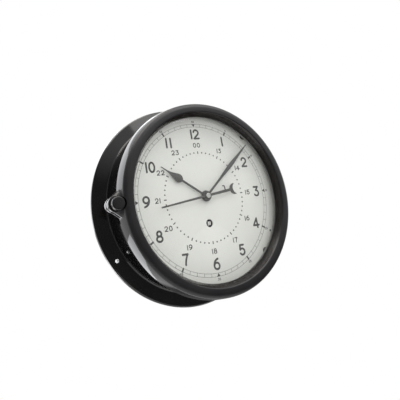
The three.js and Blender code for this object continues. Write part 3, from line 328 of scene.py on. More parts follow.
# fine lines left by turning, in rings round the clock's axis
def buildTurning():
    group, given, result = shaderGroup("turned lines", [
        ("Line Scale", number, 2500.0), ("Smooth", number, 0.15), ("Scored", number, 0.35)],
        [("Lines", number), ("Roughness", number)])
    spot = group.nodes.new("ShaderNodeTexCoord").outputs["Object"]
    parts = group.nodes.new("ShaderNodeSeparateXYZ")
    group.links.new(spot, parts.inputs["Vector"])
    across = mathNode(group, "MULTIPLY", parts.outputs["X"], parts.outputs["X"])
    up = mathNode(group, "MULTIPLY", parts.outputs["Z"], parts.outputs["Z"])
    square = mathNode(group, "ADD", across.outputs[0], up.outputs[0])
    radius = mathNode(group, "SQRT", square.outputs[0], 0.0)
    lines = group.nodes.new("ShaderNodeTexNoise")
    lines.noise_dimensions = "1D"
    lines.inputs["Detail"].default_value = turningNoise["detail"]
    group.links.new(radius.outputs[0], lines.inputs["W"])
    group.links.new(given.outputs["Line Scale"], lines.inputs["Scale"])
    group.links.new(lines.outputs["Fac"], result.inputs["Lines"])
    gloss = rangeNode(group, lines.outputs["Fac"], *turningNoise["spread"])
    group.links.new(given.outputs["Smooth"], gloss.inputs["To Min"])
    group.links.new(given.outputs["Scored"], gloss.inputs["To Max"])
    group.links.new(gloss.outputs["Result"], result.inputs["Roughness"])
    return group


rubNoise = {"bend": (0.53, 0.62), "patch": (4.0, 0.6), "broken": (0.42, 0.6)}


# a mask on rubbed outer edges, broken up so that it never runs as a clean line
def buildRub():
    group, given, result = shaderGroup("edge rub", [
        ("Amount", number, 0.4), ("Patch Scale", number, 90.0)], [("Mask", number)])
    bend = group.nodes.new("ShaderNodeNewGeometry").outputs["Pointiness"]
    edge = rangeNode(group, bend, *rubNoise["bend"])
    spot = group.nodes.new("ShaderNodeTexCoord").outputs["Object"]
    patch = noiseNode(group, spot, given.outputs["Patch Scale"], *rubNoise["patch"])
    broken = rangeNode(group, patch.outputs["Fac"], *rubNoise["broken"])
    worn = mathNode(group, "MULTIPLY", edge.outputs["Result"], broken.outputs["Result"])
    mask = mathNode(group, "MULTIPLY", worn.outputs[0], given.outputs["Amount"])
    group.links.new(mask.outputs[0], result.inputs["Mask"])
    return group


skinGroup, turningGroup, rubGroup = buildSkin(), buildTurning(), buildRub()


def placeGroup(tree, group, values):
    node = tree.nodes.new("ShaderNodeGroup")
    node.node_tree = group
    for label, value in values.items():
        node.inputs[label].default_value = value
    return node


def startCoat(name):
    coat = bpy.data.materials.new(name)
    coat.use_nodes = True
    return coat, coat.node_tree, coat.node_tree.nodes["Principled BSDF"]


def bumpFrom(tree, height, shader, look):
    bump = tree.nodes.new("ShaderNodeBump")
    bump.inputs["Strength"].default_value = look["bump"]
    bump.inputs["Distance"].default_value = look["depth"]
    tree.links.new(height, bump.inputs["Height"])
    tree.links.new(bump.outputs["Normal"], shader.inputs["Normal"])


def tones(look):
    return {"Dark": (*look["dark"], 1.0), "Pale": (*look["pale"], 1.0), "Drift Scale": look["drift"]}


# moulded, rubbed or painted finishes, all on the same skin with their own values
def skinCoat(name, look):
    coat, tree, shader = startCoat(name)
    skin = placeGroup(tree, skinGroup, {
        **tones(look), "Smooth": look["smooth"], "Hazy": look["hazy"],
        "Haze Scale": look["haze"], "Grain Scale": look["grain"]})
    tone = skin.outputs["Colour"]
    if "rub" in look:
        rub = placeGroup(tree, rubGroup, {"Amount": look["rub"]})
        tone = mixNode(tree, rub.outputs["Mask"], tone, (*look["worn"], 1.0)).outputs[2]
    tree.links.new(tone, shader.inputs["Base Color"])
    tree.links.new(skin.outputs["Roughness"], shader.inputs["Roughness"])
    shader.inputs["IOR"].default_value = look["ior"]
    bumpFrom(tree, skin.outputs["Height"], shader, look)
    return coat


# bare or plated metals, with turning lines over a drifting tone
def metalCoat(name, look):
    coat, tree, shader = startCoat(name)
    skin = placeGroup(tree, skinGroup, tones(look))
    turning = placeGroup(tree, turningGroup, {
        "Line Scale": look["lines"], "Smooth": look["smooth"], "Scored": look["hazy"]})
    tree.links.new(skin.outputs["Colour"], shader.inputs["Base Color"])
    tree.links.new(turning.outputs["Roughness"], shader.inputs["Roughness"])
    shader.inputs["Metallic"].default_value = look["metal"]
    bumpFrom(tree, turning.outputs["Lines"], shader, look)
    return coat


skinLooks = {
    "moulded black": {
        "dark": (0.0035, 0.0035, 0.004), "pale": (0.0065, 0.006, 0.0058), "drift": 22.0,
        "smooth": 0.05, "hazy": 0.11, "haze": 45.0, "grain": 420.0, "ior": 1.52,
        "bump": 0.006, "depth": 0.0002, "rub": 0.3, "worn": (0.04, 0.036, 0.032)},
    "bezel face black": {
        "dark": (0.009, 0.009, 0.0105), "pale": (0.014, 0.0135, 0.015), "drift": 26.0,
        "smooth": 0.28, "hazy": 0.4, "haze": 55.0, "grain": 700.0, "ior": 1.48,
        "bump": 0.12, "depth": 0.0002, "rub": 0.25, "worn": (0.05, 0.045, 0.04)},
    # painted reflection: the lip's black is lifted and tinted brown to stand in for a warm reflection on the
    # sloping lip
    "lip black": {
        "dark": (0.0125, 0.0112, 0.0102), "pale": (0.016, 0.0142, 0.0126), "drift": 24.0,
        "smooth": 0.16, "hazy": 0.22, "haze": 50.0, "grain": 700.0, "ior": 1.5,
        "bump": 0.04, "depth": 0.0002},
    "knob black": {
        "dark": (0.006, 0.006, 0.0065), "pale": (0.013, 0.012, 0.012), "drift": 120.0,
        "smooth": 0.2, "hazy": 0.34, "haze": 160.0, "grain": 900.0, "ior": 1.46,
        "bump": 0.12, "depth": 0.0002, "rub": 0.3, "worn": (0.07, 0.066, 0.062)},
    "gasket rubber": {
        "dark": (0.012, 0.012, 0.012), "pale": (0.022, 0.021, 0.02), "drift": 60.0,
        "smooth": 0.6, "hazy": 0.8, "haze": 90.0, "grain": 1200.0, "ior": 1.5,
        "bump": 0.3, "depth": 0.0002},
    "ring grey": {
        "dark": (0.17, 0.17, 0.167), "pale": (0.22, 0.22, 0.214), "drift": 50.0,
        "smooth": 0.4, "hazy": 0.55, "haze": 80.0, "grain": 900.0, "ior": 1.45,
        "bump": 0.2, "depth": 0.0002, "rub": 0.5, "worn": (0.4, 0.4, 0.39)},
    "dial paint": {
        "dark": (0.7, 0.705, 0.67), "pale": (0.745, 0.75, 0.712), "drift": 14.0,
        "smooth": 0.5, "hazy": 0.65, "haze": 40.0, "grain": 1500.0, "ior": 1.45,
        "bump": 0.06, "depth": 0.0001},
    "dial ink": {
        "dark": (0.042, 0.042, 0.04), "pale": (0.064, 0.064, 0.061), "drift": 260.0,
        "smooth": 0.5, "hazy": 0.7, "haze": 300.0, "grain": 1500.0, "ior": 1.35,
        "bump": 0.1, "depth": 0.0001},
    "hand paint": {
        "dark": (0.06, 0.06, 0.058), "pale": (0.078, 0.078, 0.074), "drift": 90.0,
        "smooth": 0.35, "hazy": 0.5, "haze": 140.0, "grain": 1500.0, "ior": 1.4,
        "bump": 0.1, "depth": 0.0001, "rub": 0.3, "worn": (0.16, 0.15, 0.13)},
}
metalLooks = {
    "polished steel": {
        "dark": (0.66, 0.66, 0.64), "pale": (0.78, 0.77, 0.75), "drift": 70.0,
        "lines": 5000.0, "smooth": 0.3, "hazy": 0.48, "metal": 0.9, "bump": 0.1, "depth": 0.0001},
    "blackened steel": {
        "dark": (0.07, 0.07, 0.072), "pale": (0.11, 0.108, 0.104), "drift": 180.0,
        "lines": 5200.0, "smooth": 0.25, "hazy": 0.45, "metal": 0.85, "bump": 0.12, "depth": 0.0001},
    "spring steel": {
        "dark": (0.05, 0.07, 0.15), "pale": (0.1, 0.12, 0.22), "drift": 90.0,
        "lines": 6000.0, "smooth": 0.18, "hazy": 0.32, "metal": 1.0, "bump": 0.08, "depth": 0.0001},
    "oiled brass": {
        "dark": (0.09, 0.066, 0.03), "pale": (0.14, 0.1, 0.045), "drift": 120.0,
        "lines": 3200.0, "smooth": 0.35, "hazy": 0.5, "metal": 0.8, "bump": 0.12, "depth": 0.0001},
    "brass": {
        "dark": (0.5, 0.36, 0.15), "pale": (0.66, 0.5, 0.24), "drift": 55.0,
        "lines": 3200.0, "smooth": 0.2, "hazy": 0.38, "metal": 1.0, "bump": 0.12, "depth": 0.0001},
}
coats = {name: skinCoat(name, look) for name, look in skinLooks.items()}
coats.update({name: metalCoat(name, look) for name, look in metalLooks.items()})
glassLook = {"tint": (0.985, 0.995, 0.99, 1.0), "ior": 1.5, "smooth": 0.0, "hazy": 0.02, "haze": 30.0}


# mixes a second shader over the first by a share and sends it to the output
def overlay(tree, share, first, second):
    blend = tree.nodes.new("ShaderNodeMixShader")
    tree.links.new(share, blend.inputs["Fac"])
    tree.links.new(first, blend.inputs[1])
    tree.links.new(second, blend.inputs[2])
    tree.links.new(blend.outputs["Shader"], tree.nodes["Material Output"].inputs["Surface"])


# clear glass that lets light through to what lies behind it
def glassCoat():
    coat, tree, shader = startCoat("clear glass")
    shader.inputs["Base Color"].default_value = glassLook["tint"]
    shader.inputs["IOR"].default_value = glassLook["ior"]
    shader.inputs["Transmission Weight"].default_value = 1.0
    skin = placeGroup(tree, skinGroup, {
        "Smooth": glassLook["smooth"], "Hazy": glassLook["hazy"], "Haze Scale": glassLook["haze"]})
    tree.links.new(skin.outputs["Roughness"], shader.inputs["Roughness"])
    path = tree.nodes.new("ShaderNodeLightPath")
    clear = tree.nodes.new("ShaderNodeBsdfTransparent")
    passing = mathNode(tree, "MAXIMUM", path.outputs["Is Shadow Ray"], path.outputs["Is Diffuse Ray"])
    overlay(tree, passing.outputs[0], shader.outputs["BSDF"], clear.outputs["BSDF"])
    return coat


coats["clear glass"] = glassCoat()
print("finishes mixed:", len(coats))


# a finished piece takes the finish that its slot names, unless it is given others
def piece(name, shape, body, slot, stands=(), finishes=(), bend=None):
    made = roughPiece(name, shape)
    mesh = made.data
    mesh.polygons.foreach_set("use_smooth", [True] * len(mesh.polygons))
    mesh.set_sharp_from_angle(angle=math.radians(limits["crease"]))
    for finish in finishes or [slot.replace("_", " ")]:
        mesh.materials.append(coats[finish])
    if bend:
        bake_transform(made)
    else:
        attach(made, body)
    if stands:
        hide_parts(*stands)


# the latch nose, shared by the case lug and the bezel ear
latch = {"knob": (-90.7, 0.0), "nose": 7.0, "anchor": (-83.31, 15.0), "pull": 4.7, "pullAngle": 30.0,
         "leave": 120.0, "flareSteps": 18, "noseSteps": 22, "root": 82.9, "rootSteps": 8}


def latchOutline():
    touch = polar(latch["nose"], latch["leave"], latch["knob"])
    pull = polar(latch["pull"], latch["pullAngle"], touch)
    flare = bentPoints(latch["anchor"], pull, touch, latch["flareSteps"])[:-1]
    nose = arcPoints(latch["knob"], latch["nose"], latch["leave"], 360.0 - latch["leave"], latch["noseSteps"])
    reach = math.degrees(math.asin(latch["anchor"][1] / latch["root"]))
    root = arcPoints(origin, latch["root"], 180.0 + reach, 180.0 - reach, latch["rootSteps"])
    return flare + nose + [(x, -y) for x, y in reversed(flare)] + root


# the hinge: webs with knuckles on the case and the bezel, and the pin through them
hinge = {"axis": (92.2, 45.55), "knuckle": 3.0, "edge": 0.3, "bore": 1.3, "boreReach": 14.0, "boreSteps": 32,
         "case": {"spans": [(5.0, 12.0), (-12.0, -5.0)], "roots": [(83.7, 34.25), (83.7, 45.25)],
                  "arc": (-60.0, 185.7, 40)},
         "bezel": {"spans": [(-4.6, 4.6)], "roots": [(84.6, 45.85), (84.6, 52.2)], "arc": (174.3, 450.0, 44)},
         "pin": {"steps": 40, "bends": 5,
                 "profile": [(0.0, -12.0, 0.0), (1.2, -12.0, 0.3), (1.2, 12.15, 0.0), (1.9, 12.15, 0.2),
                             (1.9, 13.35, 0.6), (0.0, 13.35, 0.0)]}}


def hingeWebs(side):
    look = hinge[side]
    first, last = look["roots"]
    web = [first] + arcPoints(hinge["axis"], hinge["knuckle"], *look["arc"]) + [last]
    return [cutOut([web], *span, edge=hinge["edge"], lay=upTheHinge) for span in look["spans"]]


def hingeBore():
    reach = hinge["boreReach"]
    return rod(hinge["axis"], hinge["bore"], -reach, reach, hinge["boreSteps"], upTheHinge)


# two rings of four screws: those of the dial and those of the glass ring
dialScrews = {"circle": 78.4, "turns": (45.0, 135.0, 225.0, 315.0), "bore": 1.45, "boreSteps": 24}
ringScrews = {"circle": 80.1, "turns": (0.0, 90.0, 180.0, 270.0), "bore": 0.95, "boreSteps": 24}


def screwSpots(screws):
    return [polar(screws["circle"], turn) for turn in screws["turns"]]


def screwBores(screws, low, high):
    return [rod(spot, screws["bore"], low, high, screws["boreSteps"]) for spot in screwSpots(screws)]


# the case: a deep bowl on a wide wall flange; columns and holes are (radius, low, high)
case = {"steps": 192, "bends": 5, "lug": (40.4, 45.4), "lugEdge": 0.35, "column": (4.4, 3.0, 40.3),
        "bushBore": (4.2, 39.0, 47.0), "screwBore": (32.4, 42.0), "wallHole": (1.7, -1.0, 8.0),
        "wallHoleCircle": 92.0, "wallHoles": (90.0, 210.0, 330.0),
        "profile": [(0.0, 0.0, 0.0), (86.0, 0.0, 0.0), (98.4, 0.0, 0.7), (98.4, 4.0, 1.3), (97.2, 5.2, 1.3),
                    (85.9, 7.2, 1.6), (84.7, 8.4, 1.6), (85.6, 44.9, 0.4), (85.1, 45.4, 0.4),
                    (81.8, 45.4, 0.3), (81.8, 40.6, 0.0), (80.9, 4.5, 2.0), (0.0, 4.5, 0.0)]}
bush = {"steps": 48, "bends": 3,
        "profile": [(2.7, 40.4, 0.1), (3.9, 40.4, 0.2), (3.9, 45.25, 0.2), (2.7, 45.25, 0.3)]}


def buildCase():
    joined = [cutOut([latchOutline()], *case["lug"], edge=case["lugEdge"])]
    joined += [rod(spot, *case["column"]) for spot in screwSpots(dialScrews)]
    shape = worked(lathed(case), joined + hingeWebs("case"), "UNION")
    cuts = [rod(latch["knob"], *case["bushBore"]), hingeBore()]
    cuts += [rod(polar(case["wallHoleCircle"], turn), *case["wallHole"]) for turn in case["wallHoles"]]
    return worked(shape, cuts + screwBores(dialScrews, *case["screwBore"]), "DIFFERENCE")


piece("case_shell", buildCase(), "case", "moulded_black", ["case_body", "wall_flange"])
piece("latch_insert", lathed(bush, latch["knob"]), "case", "brass", ["latch_bush"], ["oiled brass"])
print("case built")

# the bezel: a leaning side wall, a rounded shoulder, a flat face and a lip that slopes to the glass
bezel = {"steps": 224, "bends": 4, "foot": [(82.1, 45.7, 0.2), (88.6, 45.7, 0.45)],
         "shoulder": {"centre": (82.3, 55.3), "wide": 4.6, "deep": 3.7, "start": 8.0, "steps": 16},
         "inside": [(78.2, 59.0, 1.5), (75.0, 52.1, 0.4), (78.7, 52.1, 0.0), (78.7, 48.7, 0.0),
                    (82.1, 48.7, 0.0)],
         "ear": (45.7, 51.4), "earEdge": 0.5, "neckHole": (1.95, 44.0, 54.0), "tipHole": (2.7, 44.0, 49.9),
         "pocket": {"half": 6.3, "mouth": -99.0, "level": (51.2, 62.0), "steps": 28},
         "finishes": ["moulded black", "bezel face black", "lip black"], "screwBore": (48.0, 51.0),
         "lipRadius": 78.1, "lipTurn": 0.5, "faceTurn": 0.35, "faceHeight": 53.0}
ramp = {"start": 0.06, "low": 50.8, "rise": (51.4, 57.3), "rim": 85.6, "bend": 1.25, "rows": 8, "proud": 0.4,
        "root": -81.5}


def bezelProfile():
    look = bezel["shoulder"]
    x, h = look["centre"]
    quarter = arcPoints(origin, 1.0, look["start"], 90.0, look["steps"])
    shoulder = [(x + look["wide"] * across, h + look["deep"] * up, 0.0) for across, up in quarter]
    return softened(bezel["foot"] + shoulder + bezel["inside"], bezel["bends"])


# the moulded ramp that carries the ear's edge up to the shoulder
def earRamp():
    low, high = ramp["rise"]
    levels = [(ramp["start"], ramp["low"])]
    for k in range(ramp["rows"] + 1):
        share = k / ramp["rows"]
        along = ramp["start"] + (1.0 - ramp["start"]) * share
        levels.append((along, low + (high - low) * share ** ramp["bend"]))
    edge = [spot for spot in latchOutline() if math.hypot(*spot) > ramp["rim"] + ramp["proud"]]
    shape = bmesh.new()
    rows, outlines = [], []
    for along, height in levels:
        spots = []
        for x, y in edge:
            far = polar(ramp["rim"], math.degrees(math.atan2(y, x)))
            spots.append((x + (far[0] - x) * along, y + (far[1] - y) * along))
        spots += [(ramp["root"], edge[-1][1]), (ramp["root"], edge[0][1])]
        outlines.append(spots)
        rows.append([shape.verts.new(fromWall(*spot, height)) for spot in spots])
    for near, far in zip(rows, rows[1:]):
        for i in range(len(near)):
            j = (i + 1) % len(near)
            shape.faces.new([near[i], near[j], far[j], far[i]])
    for row, spots in ((rows[0], outlines[0]), (rows[-1], outlines[-1])):
        for tri in flatSheet([spots], [])[1]:
            shape.faces.new([row[i] for i in tri])
    bmesh.ops.recalc_face_normals(shape, faces=shape.faces)
    return shape


# the face and the lip are each duller than the moulding's sides, and the lip is tinted brown and made lighter
# as a painted reflection
def finishBezel(shape):
    for face in shape.faces:
        middle = face.calc_center_median()
        radius = math.hypot(middle.x, middle.z) / mm
        inward = -(face.normal.x * middle.x + face.normal.z * middle.z) / (radius * mm)
        if radius < bezel["lipRadius"] and inward > bezel["lipTurn"]:
            face.material_index = bezel["finishes"].index("lip black")
        elif -face.normal.y > bezel["faceTurn"] and -middle.y > bezel["faceHeight"] * mm:
            face.material_index = bezel["finishes"].index("bezel face black")
    return shape


def buildBezel():
    ring = worked(turned(bezelProfile(), bezel["steps"]), [earRamp()], "UNION")
    pocket = bezel["pocket"]
    half, mouth = pocket["half"], pocket["mouth"]
    room = arcPoints(latch["knob"], half, -90.0, 90.0, pocket["steps"]) + [(mouth, half), (mouth, -half)]
    ring = worked(ring, [cutOut([room], *pocket["level"])], "DIFFERENCE")
    ear = cutOut([latchOutline()], *bezel["ear"], edge=bezel["earEdge"])
    shape = worked(ring, [ear] + hingeWebs("bezel"), "UNION")
    cuts = [rod(latch["knob"], *bezel["neckHole"]), rod(latch["knob"], *bezel["tipHole"]), hingeBore()]
    return finishBezel(worked(shape, cuts + screwBores(ringScrews, *bezel["screwBore"]), "DIFFERENCE"))


piece("bezel_rim", buildBezel(), "bezel", "moulded_black", ["bezel_ring"], bezel["finishes"])
piece("hinge_rod", lathed(hinge["pin"], hinge["axis"], upTheHinge), "case", "blackened_steel", ["hinge_pin"])
print("bezel built")

# the thumbscrew: a round knob on a captive neck
thumb = {"steps": 72, "bends": 5,
         "profile": [(0.0, 40.75, 0.0), (1.7, 40.75, 0.2), (2.4, 41.45, 0.2), (2.4, 45.25, 0.2),
                     (1.7, 45.25, 0.0), (1.7, 52.3, 0.0), (5.3, 52.3, 0.3), (5.65, 53.0, 0.6),
                     (5.65, 56.9, 1.3), (4.95, 57.6, 1.8), (0.0, 57.6, 0.0)]}
washer = {"steps": 56, "bends": 3,
          "profile": [(1.95, 51.55, 0.1), (4.6, 51.55, 0.15), (4.6, 52.15, 0.2), (1.95, 52.15, 0.1)]}
piece("thumb_knob", lathed(thumb, latch["knob"]), "thumbscrew", "knob_black", ["thumbscrew"])
disc = lathed(washer, latch["knob"])
piece("thumb_washer", disc, "thumbscrew_carrier", "polished_steel", ["thumbscrew_washer"])
print("thumbscrew built")

# the glass with its gasket, retaining ring and screws
pane = {"steps": 192, "bends": 3,
        "profile": [(0.0, 48.7, 0.0), (78.4, 48.7, 0.25), (78.4, 51.0, 0.25), (0.0, 51.0, 0.0)]}
gasket = {"steps": 160, "bends": 3,
          "profile": [(75.15, 51.15, 0.2), (78.4, 51.15, 0.2), (78.4, 51.95, 0.2), (75.15, 51.95, 0.2)]}
ring = {"steps": 160, "bends": 3, "screwBore": (44.0, 50.0),
        "profile": [(75.8, 45.85, 0.3), (81.8, 45.85, 0.3), (81.8, 48.55, 0.2), (75.8, 48.55, 0.2)]}
ringScrew = {"steps": 32, "bends": 3, "slot": (2.0, 0.18, 44.0, 45.25),
             "slotTurns": (31.0, 98.0, 165.0, 232.0),
             "profile": [(0.0, 44.9, 0.0), (1.4, 44.9, 0.25), (1.4, 45.7, 0.1), (0.7, 45.7, 0.0),
                         (0.7, 50.85, 0.0), (0.0, 50.85, 0.0)]}
piece("clear_pane", lathed(pane), "bezel", "clear_glass", ["bezel_glass"])
piece("pane_gasket", lathed(gasket), "bezel", "gasket_rubber", ["glass_gasket"])
drilled = worked(lathed(ring), screwBores(ringScrews, *ring["screwBore"]), "DIFFERENCE")
piece("pane_ring", drilled, "bezel", "ring_grey", ["glass_ring"])


# a turned screw with a slot of (half length, half width, low, high) sawn across its head
def slottedScrew(look, spot, slotTurn):
    length, half, low, high = look["slot"]
    cos, sin = math.cos(math.radians(slotTurn)), math.sin(math.radians(slotTurn))
    corners = [(-length, -half), (length, -half), (length, half), (-length, half)]
    outline = [(spot[0] + x * cos - y * sin, spot[1] + x * sin + y * cos) for x, y in corners]
    return worked(lathed(look, spot), [cutOut([outline], low, high)], "DIFFERENCE")


for i, spot in enumerate(screwSpots(ringScrews), 1):
    screw = slottedScrew(ringScrew, spot, ringScrew["slotTurns"][i - 1])
    piece("ring_screw_%d" % i, screw, "bezel", "blackened_steel", ["glass_ring_screw_%d" % i])
print("glazing built")

# the dial plate and its screws
dial = {"radius": 81.4, "steps": 192, "level": (40.6, 42.0), "edge": 0.2, "centreHole": 3.6,
        "windingHole": 3.5, "windingAt": (0.0, -24.2), "holeSteps": 40}
dialScrew = {"steps": 48, "bends": 4, "middle": 38.0, "slot": (4.0, 0.3, 43.0, 45.0),
             "slotTurns": (12.0, 74.0, 38.0, 150.0),
             "profile": [(0.0, 33.0, 0.0), (1.2, 33.0, 0.2), (1.2, 42.15, 0.0), (2.9, 42.15, 0.15),
                         (2.9, 42.95, 0.3), (2.03, 43.75, 0.8), (0.0, 43.75, 0.0)]}
openings = [circlePoints(origin, dial["centreHole"], dial["holeSteps"]),
            circlePoints(dial["windingAt"], dial["windingHole"], dial["holeSteps"])]
for spot in screwSpots(dialScrews):
    openings.append(circlePoints(spot, dialScrews["bore"], dialScrews["boreSteps"]))
plate = cutOut([circlePoints(origin, dial["radius"], dial["steps"])], *dial["level"], openings, dial["edge"])
piece("dial_face", plate, "case", "dial_paint", ["dial_plate"])


def nearestScrew(spot):
    aim = fromWall(*spot, dialScrew["middle"])

    def gap(name):
        low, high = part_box(name)
        return ((low + high) / 2.0 - aim).length

    return min(["dial_screw_%d" % i for i in range(1, 5)], key=gap)


for spot, slotTurn in zip(screwSpots(dialScrews), dialScrew["slotTurns"]):
    name = nearestScrew(spot)
    screw = slottedScrew(dialScrew, spot, slotTurn)
    piece(name.replace("dial_screw", "slotted_screw"), screw, "case", "blackened_steel", [name])
print("dial built")

# printed figures: each is drawn as pen strokes in a box one unit high
pen = {"arcSteps": 16, "bendSteps": 12, "endSteps": 5}


def penArc(cx, cy, rx, ry, start, end):
    return [(cx + rx * x, cy + ry * y) for x, y in arcPoints(origin, 1.0, start, end, pen["arcSteps"])]


def penBend(first, pull, last):
    return bentPoints(first, pull, last, pen["bendSteps"])


sixStrokes = [penArc(0.345, 0.315, 0.315, 0.315, 0.0, 180.0),
              penArc(0.345, 0.315, 0.315, 0.315, 180.0, 360.0),
              penBend((0.03, 0.33), (0.05, 0.86), (0.56, 1.0))]
figures = {
    "0": (0.68, [penArc(0.34, 0.5, 0.3, 0.5, 90.0, 270.0), penArc(0.34, 0.5, 0.3, 0.5, -90.0, 90.0)]),
    "1": (0.12, [[(0.06, 0.0), (0.06, 1.0)]]),
    "2": (0.7, [penArc(0.34, 0.69, 0.3, 0.31, 170.0, -36.0), [(0.583, 0.508), (0.03, 0.0)],
                [(0.03, 0.0), (0.66, 0.0)]]),
    "3": (0.68, [[(0.06, 1.0), (0.6, 1.0)], [(0.6, 1.0), (0.29, 0.61)],
                 penArc(0.31, 0.305, 0.31, 0.305, 94.0, -148.0)]),
    "4": (0.78, [[(0.53, 0.0), (0.53, 1.0)], [(0.53, 1.0), (0.02, 0.26)], [(0.02, 0.26), (0.74, 0.26)]]),
    "5": (0.68, [[(0.58, 1.0), (0.14, 1.0)], [(0.14, 1.0), (0.07, 0.55)],
                 penArc(0.31, 0.32, 0.31, 0.32, 138.0, -150.0)]),
    "6": (0.7, sixStrokes),
    "7": (0.68, [[(0.04, 1.0), (0.62, 1.0)], penBend((0.62, 1.0), (0.3, 0.52), (0.26, 0.0))]),
    "8": (0.7, [penArc(0.345, 0.755, 0.24, 0.245, -90.0, 90.0),
                penArc(0.345, 0.755, 0.24, 0.245, 90.0, 270.0),
                penArc(0.345, 0.265, 0.31, 0.265, -90.0, 90.0),
                penArc(0.345, 0.265, 0.31, 0.265, 90.0, 270.0)]),
    "9": (0.7, [[(0.69 - x, 1.0 - y) for x, y in stroke] for stroke in sixStrokes]),
}


# one pen stroke as a closed outline with round ends
def penStroke(path, width):
    spots = [Vector(point) for point in path]
    half = width / 2.0
    left, right = [], []
    for i, spot in enumerate(spots):
        run = (spots[min(i + 1, len(spots) - 1)] - spots[max(i - 1, 0)]).normalized()
        side = Vector((-run.y, run.x)) * half
        left.append(spot + side)
        right.append(spot - side)
    outline = list(right)
    for end, near in ((spots[-1], spots[-2]), (spots[0], spots[1])):
        run = (end - near).normalized()
        start = math.atan2(-run.x, run.y)
        for k in range(1, pen["endSteps"]):
            angle = start + math.pi * k / pen["endSteps"]
            outline.append(Vector((end.x + half * math.cos(angle), end.y + half * math.sin(angle))))
        if end is spots[-1]:
            outline += reversed(left)
    return [tuple(point) for point in outline]


def figureStrokes(text, centre, look, gap):
    scale = look["height"] - look["stroke"]
    wide = scale * look["widen"]
    total = sum(figures[letter][0] for letter in text) * wide + gap * (len(text) - 1)
    x = centre[0] - total / 2.0
    outlines = []
    for letter in text:
        width, strokes = figures[letter]
        for path in strokes:
            spots = [(x + px * wide, centre[1] + (py - 0.5) * scale) for px, py in path]
            outlines.append(penStroke(spots, look["stroke"]))
        x += width * wide + gap
    return outlines


# printed marks, all upright: hours, second-half hours, five-minute figures, minute track and seconds dots
marks = {"level": (41.98, 42.04),
         "hours": {"radius": 59.2, "height": 10.2, "stroke": 1.75, "widen": 1.0, "gap": 1.9, "wideGap": 3.4},
         "lateHours": {"radius": 48.4, "height": 4.65, "stroke": 0.82, "widen": 1.14, "gap": 1.3},
         "minutes": {"radius": 71.7, "height": 2.1, "stroke": 0.38, "widen": 0.95, "gap": 0.45},
         "track": (66.6, 69.4), "trackSteps": 60, "line": 0.25, "division": 0.28, "tick": (66.2, 70.0, 1.45),
         "arrow": 1.8, "dotCircle": 41.1, "dot": 0.71, "dotSteps": 12, "dotTick": (39.8, 42.4, 0.95),
         "spot": (76.6, 120.0, 0.95), "spotSteps": 16}


def radialBar(clockDegrees, inside, outside, width):
    x, y = clockPoint(1.0, clockDegrees)
    half = width / 2.0
    return [(x * r - y * s, y * r + x * s) for r, s in
            ((inside, -half), (outside, -half), (outside, half), (inside, half))]


def printedFigures():
    outlines = []
    for hour in range(1, 13):
        late = "00" if hour == 12 else str(hour + 12)
        for row, text in (("hours", str(hour)), ("lateHours", late), ("minutes", str(hour * 5))):
            look = marks[row]
            gap = look["wideGap"] if text == "11" else look["gap"]
            outlines += figureStrokes(text, clockPoint(look["radius"], 30.0 * hour), look, gap)
    return outlines


def buildMarks():
    outlines = printedFigures()
    for radius in marks["track"]:
        for start in (0.0, 90.0, 180.0, 270.0):
            ends = (start, start + 90.0, marks["trackSteps"])
            near = arcPoints(origin, radius - marks["line"] / 2.0, *ends)
            far = arcPoints(origin, radius + marks["line"] / 2.0, *ends)
            outlines.append(near + far[::-1])
    for minute in range(60):
        turn = 6.0 * minute
        if minute % 15 == 0:
            tip, base = marks["track"]
            side = math.degrees(marks["arrow"] / base)
            corners = [(tip, turn), (base, turn - side), (base, turn + side)]
            outlines.append([clockPoint(*corner) for corner in corners])
        elif minute % 5 == 0:
            outlines.append(radialBar(turn, *marks["tick"]))
        else:
            outlines.append(radialBar(turn, *marks["track"], marks["division"]))
        if minute % 5 == 0:
            outlines.append(radialBar(turn, *marks["dotTick"]))
        else:
            spot = clockPoint(marks["dotCircle"], turn)
            outlines.append(circlePoints(spot, marks["dot"], marks["dotSteps"]))
    radius, turn, size = marks["spot"]
    outlines.append(circlePoints(clockPoint(radius, turn), size, marks["spotSteps"]))
    return cutOut(outlines, *marks["level"])


piece("dial_marks", buildMarks(), "case", "hand_paint", finishes=["dial ink"])
print("dial printed")

# the three hands, drawn pointing to the right and then turned to the hour
hands = {"edge": 0.14, "edgeSteps": 2, "bossSteps": 64, "eyeSteps": 48, "moonSteps": (36, 30),
         "hour": {"level": (43.6, 44.3), "clock": 305.0, "boss": 5.0, "eye": 3.9,
                  "blade": [(3.8, 0.95), (27.2, 0.95), (27.5, 1.6), (28.1, 2.4), (29.0, 3.2), (30.1, 3.7),
                            (31.2, 3.9), (32.6, 3.8), (34.2, 3.35), (36.0, 2.7), (38.0, 2.0), (40.0, 1.3),
                            (42.0, 0.85), (44.0, 0.6), (47.0, 0.45), (51.3, 0.3)]},
         "minute": {"level": (45.3, 46.0), "clock": 50.0, "boss": 4.4, "eye": 3.0,
                    "blade": [(3.2, 0.95), (20.0, 0.95), (31.0, 1.45), (43.0, 2.0), (55.0, 1.3), (65.8, 0.7),
                              (72.7, 0.35)]},
         "seconds": {"level": (46.95, 47.35), "clock": 262.3, "boss": 2.6, "eye": 1.6,
                     "blade": [(-26.0, 1.35), (0.0, 1.1), (49.3, 0.68)],
                     "moon": ((-30.5, 0.0), 5.2, (-34.4, 0.0), 5.4),
                     "spur": [(-20.8, 0.0), (-19.6, 0.0), (-19.6, -4.3), (-18.2, -4.8), (-18.2, -5.8),
                              (-20.8, -5.3)]}}


def turnedTo(clockDegrees, points):
    angle = math.radians(90.0 - clockDegrees)
    cos, sin = math.cos(angle), math.sin(angle)
    return [(x * cos - y * sin, x * sin + y * cos) for x, y in points]


